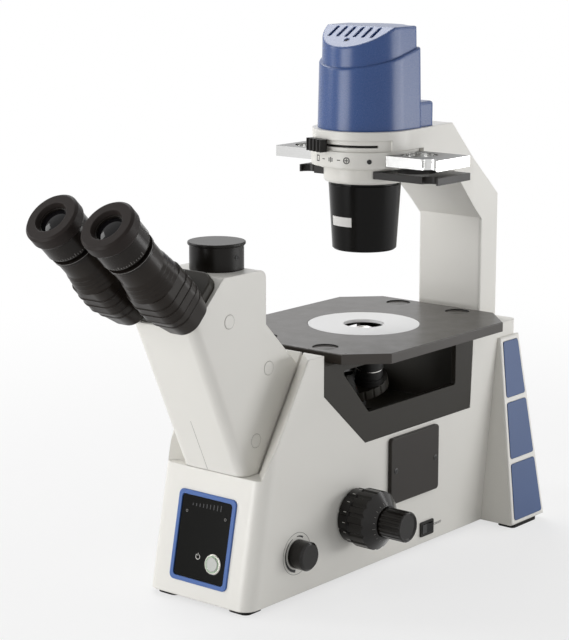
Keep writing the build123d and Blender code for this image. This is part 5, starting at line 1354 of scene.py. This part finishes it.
@dataclass
class Studio:
    """Pale floor, soft lights and the camera of the view."""

    lights: ClassVar[tuple[SoftLight, ...]] = (
        SoftLight("key_light", (-1.9, -1.2, 1.05), (0.0, -0.05, 0.3), (0.65, 1.4), 15.0),
        SoftLight("front_light", (-0.66, -2.25, 0.27), (0.0, -0.1, 0.35), (1.15, 0.5), 17.0),
        SoftLight("fill_light", (1.78, 1.32, 0.26), (0.0, 0.0, 0.35), (1.5, 0.46), 14.5),
        SoftLight("rear_light", (0.85, 1.65, 1.2), (0.0, 0.0, 0.2), (0.5, 0.5), 3.0),
        SoftLight("top_light", (-1.45, 0.87, 2.25), (0.0, 0.0, 0.4), (1.2, 1.2), 24.0),
    )
    eye: Point = (1.177650, -1.552141, 0.630219)
    look: Point = (-0.62221533, 0.75596191, -0.20339538)
    lens: float = 113.76
    sensor: float = 36.0
    shift: float = -0.0012
    floor_half: float = 6.0
    floor_tone: Colour = (0.88, 0.88, 0.88)
    floor_tones: Pair = (1.0, 0.995)
    floor_grain: float = 3.0
    floor_roughness: float = 0.95
    floor_share: float = 0.66
    floor_fade: Pair = (0.4, 1.3)
    white: Colour = (1.0, 1.0, 1.0)
    ambient: float = 0.4

    def build(self) -> None:
        """Build the floor, the world, the lights and the camera."""
        self.build_floor()
        self.build_world()
        for light in self.lights:
            light.hang()
        self.build_camera()

    def build_floor(self) -> None:
        """Flat floor under the feet: it takes the shadow near the object and fades to white farther off."""
        half = self.floor_half
        mesh = bpy.data.meshes.new("floor")
        corners = [(-half, -half, 0), (half, -half, 0), (half, half, 0), (-half, half, 0)]
        mesh.from_pydata(corners, [], [(0, 1, 2, 3)])
        floor = new_object("floor", mesh)
        shader = Shader("studio_floor")
        tone = shader.shade(shader.noise(self.floor_grain), self.floor_tone, self.floor_tones)
        shader.set(Base_Color=tone, Roughness=self.floor_roughness)
        x, y, _ = shader.split(shader.coords())
        share = self.floor_share + x.length_with(y).between(*self.floor_fade) * (1.0 - self.floor_share)
        glow = shader.node("ShaderNodeEmission", None, {"Color": self.white, "Strength": 1.0})
        lit = Value(shader, shader.surface.outputs[0])
        inputs = {0: shader.seen() * share, 1: lit, 2: glow}
        shader.feed(shader.output, shader.node("ShaderNodeMixShader", None, inputs))
        mesh.materials.append(shader.material)

    def build_world(self) -> None:
        """White surroundings for the camera, gloss and glass, and an even ambient light for the rest."""
        world = bpy.data.worlds.new("studio")
        world.use_nodes = True
        nodes = Nodes(world.node_tree, "ShaderNodeOutputWorld")
        strength = nodes.node("ShaderNodeMapRange", None, {"Value": nodes.seen(), "To Min": self.ambient})
        sky = nodes.node("ShaderNodeBackground", None, {"Color": self.white, "Strength": strength})
        nodes.feed(nodes.output, sky)
        bpy.context.scene.world = world

    def build_camera(self) -> None:
        """Camera at the photograph's place, upright."""
        data = bpy.data.cameras.new("camera")
        data.sensor_fit = "VERTICAL"
        data.sensor_height = self.sensor
        data.lens = self.lens
        data.shift_x = self.shift
        camera = new_object("camera", data)
        camera.location = self.eye
        camera.rotation_euler = Vector(self.look).to_track_quat("-Z", "Y").to_euler()
        bpy.context.scene.camera = camera


def main() -> None:
    """Build and dress the sub-assemblies in order, then the studio."""
    logging.basicConfig(level=logging.INFO, format="%(name)s: %(message)s")
    bpy.context.scene.view_settings.view_transform = "Standard"
    for kind in (Base, FrontPanel, TrinocularHead, Oculars, FocusDrive, Stage, Condenser, Lamp):
        assembly = kind()
        assembly.build()
        assembly.dress()
        LOG.info("%s is dressed", kind.__name__)
    Studio().build()


if __name__ == "__main__":
    main()
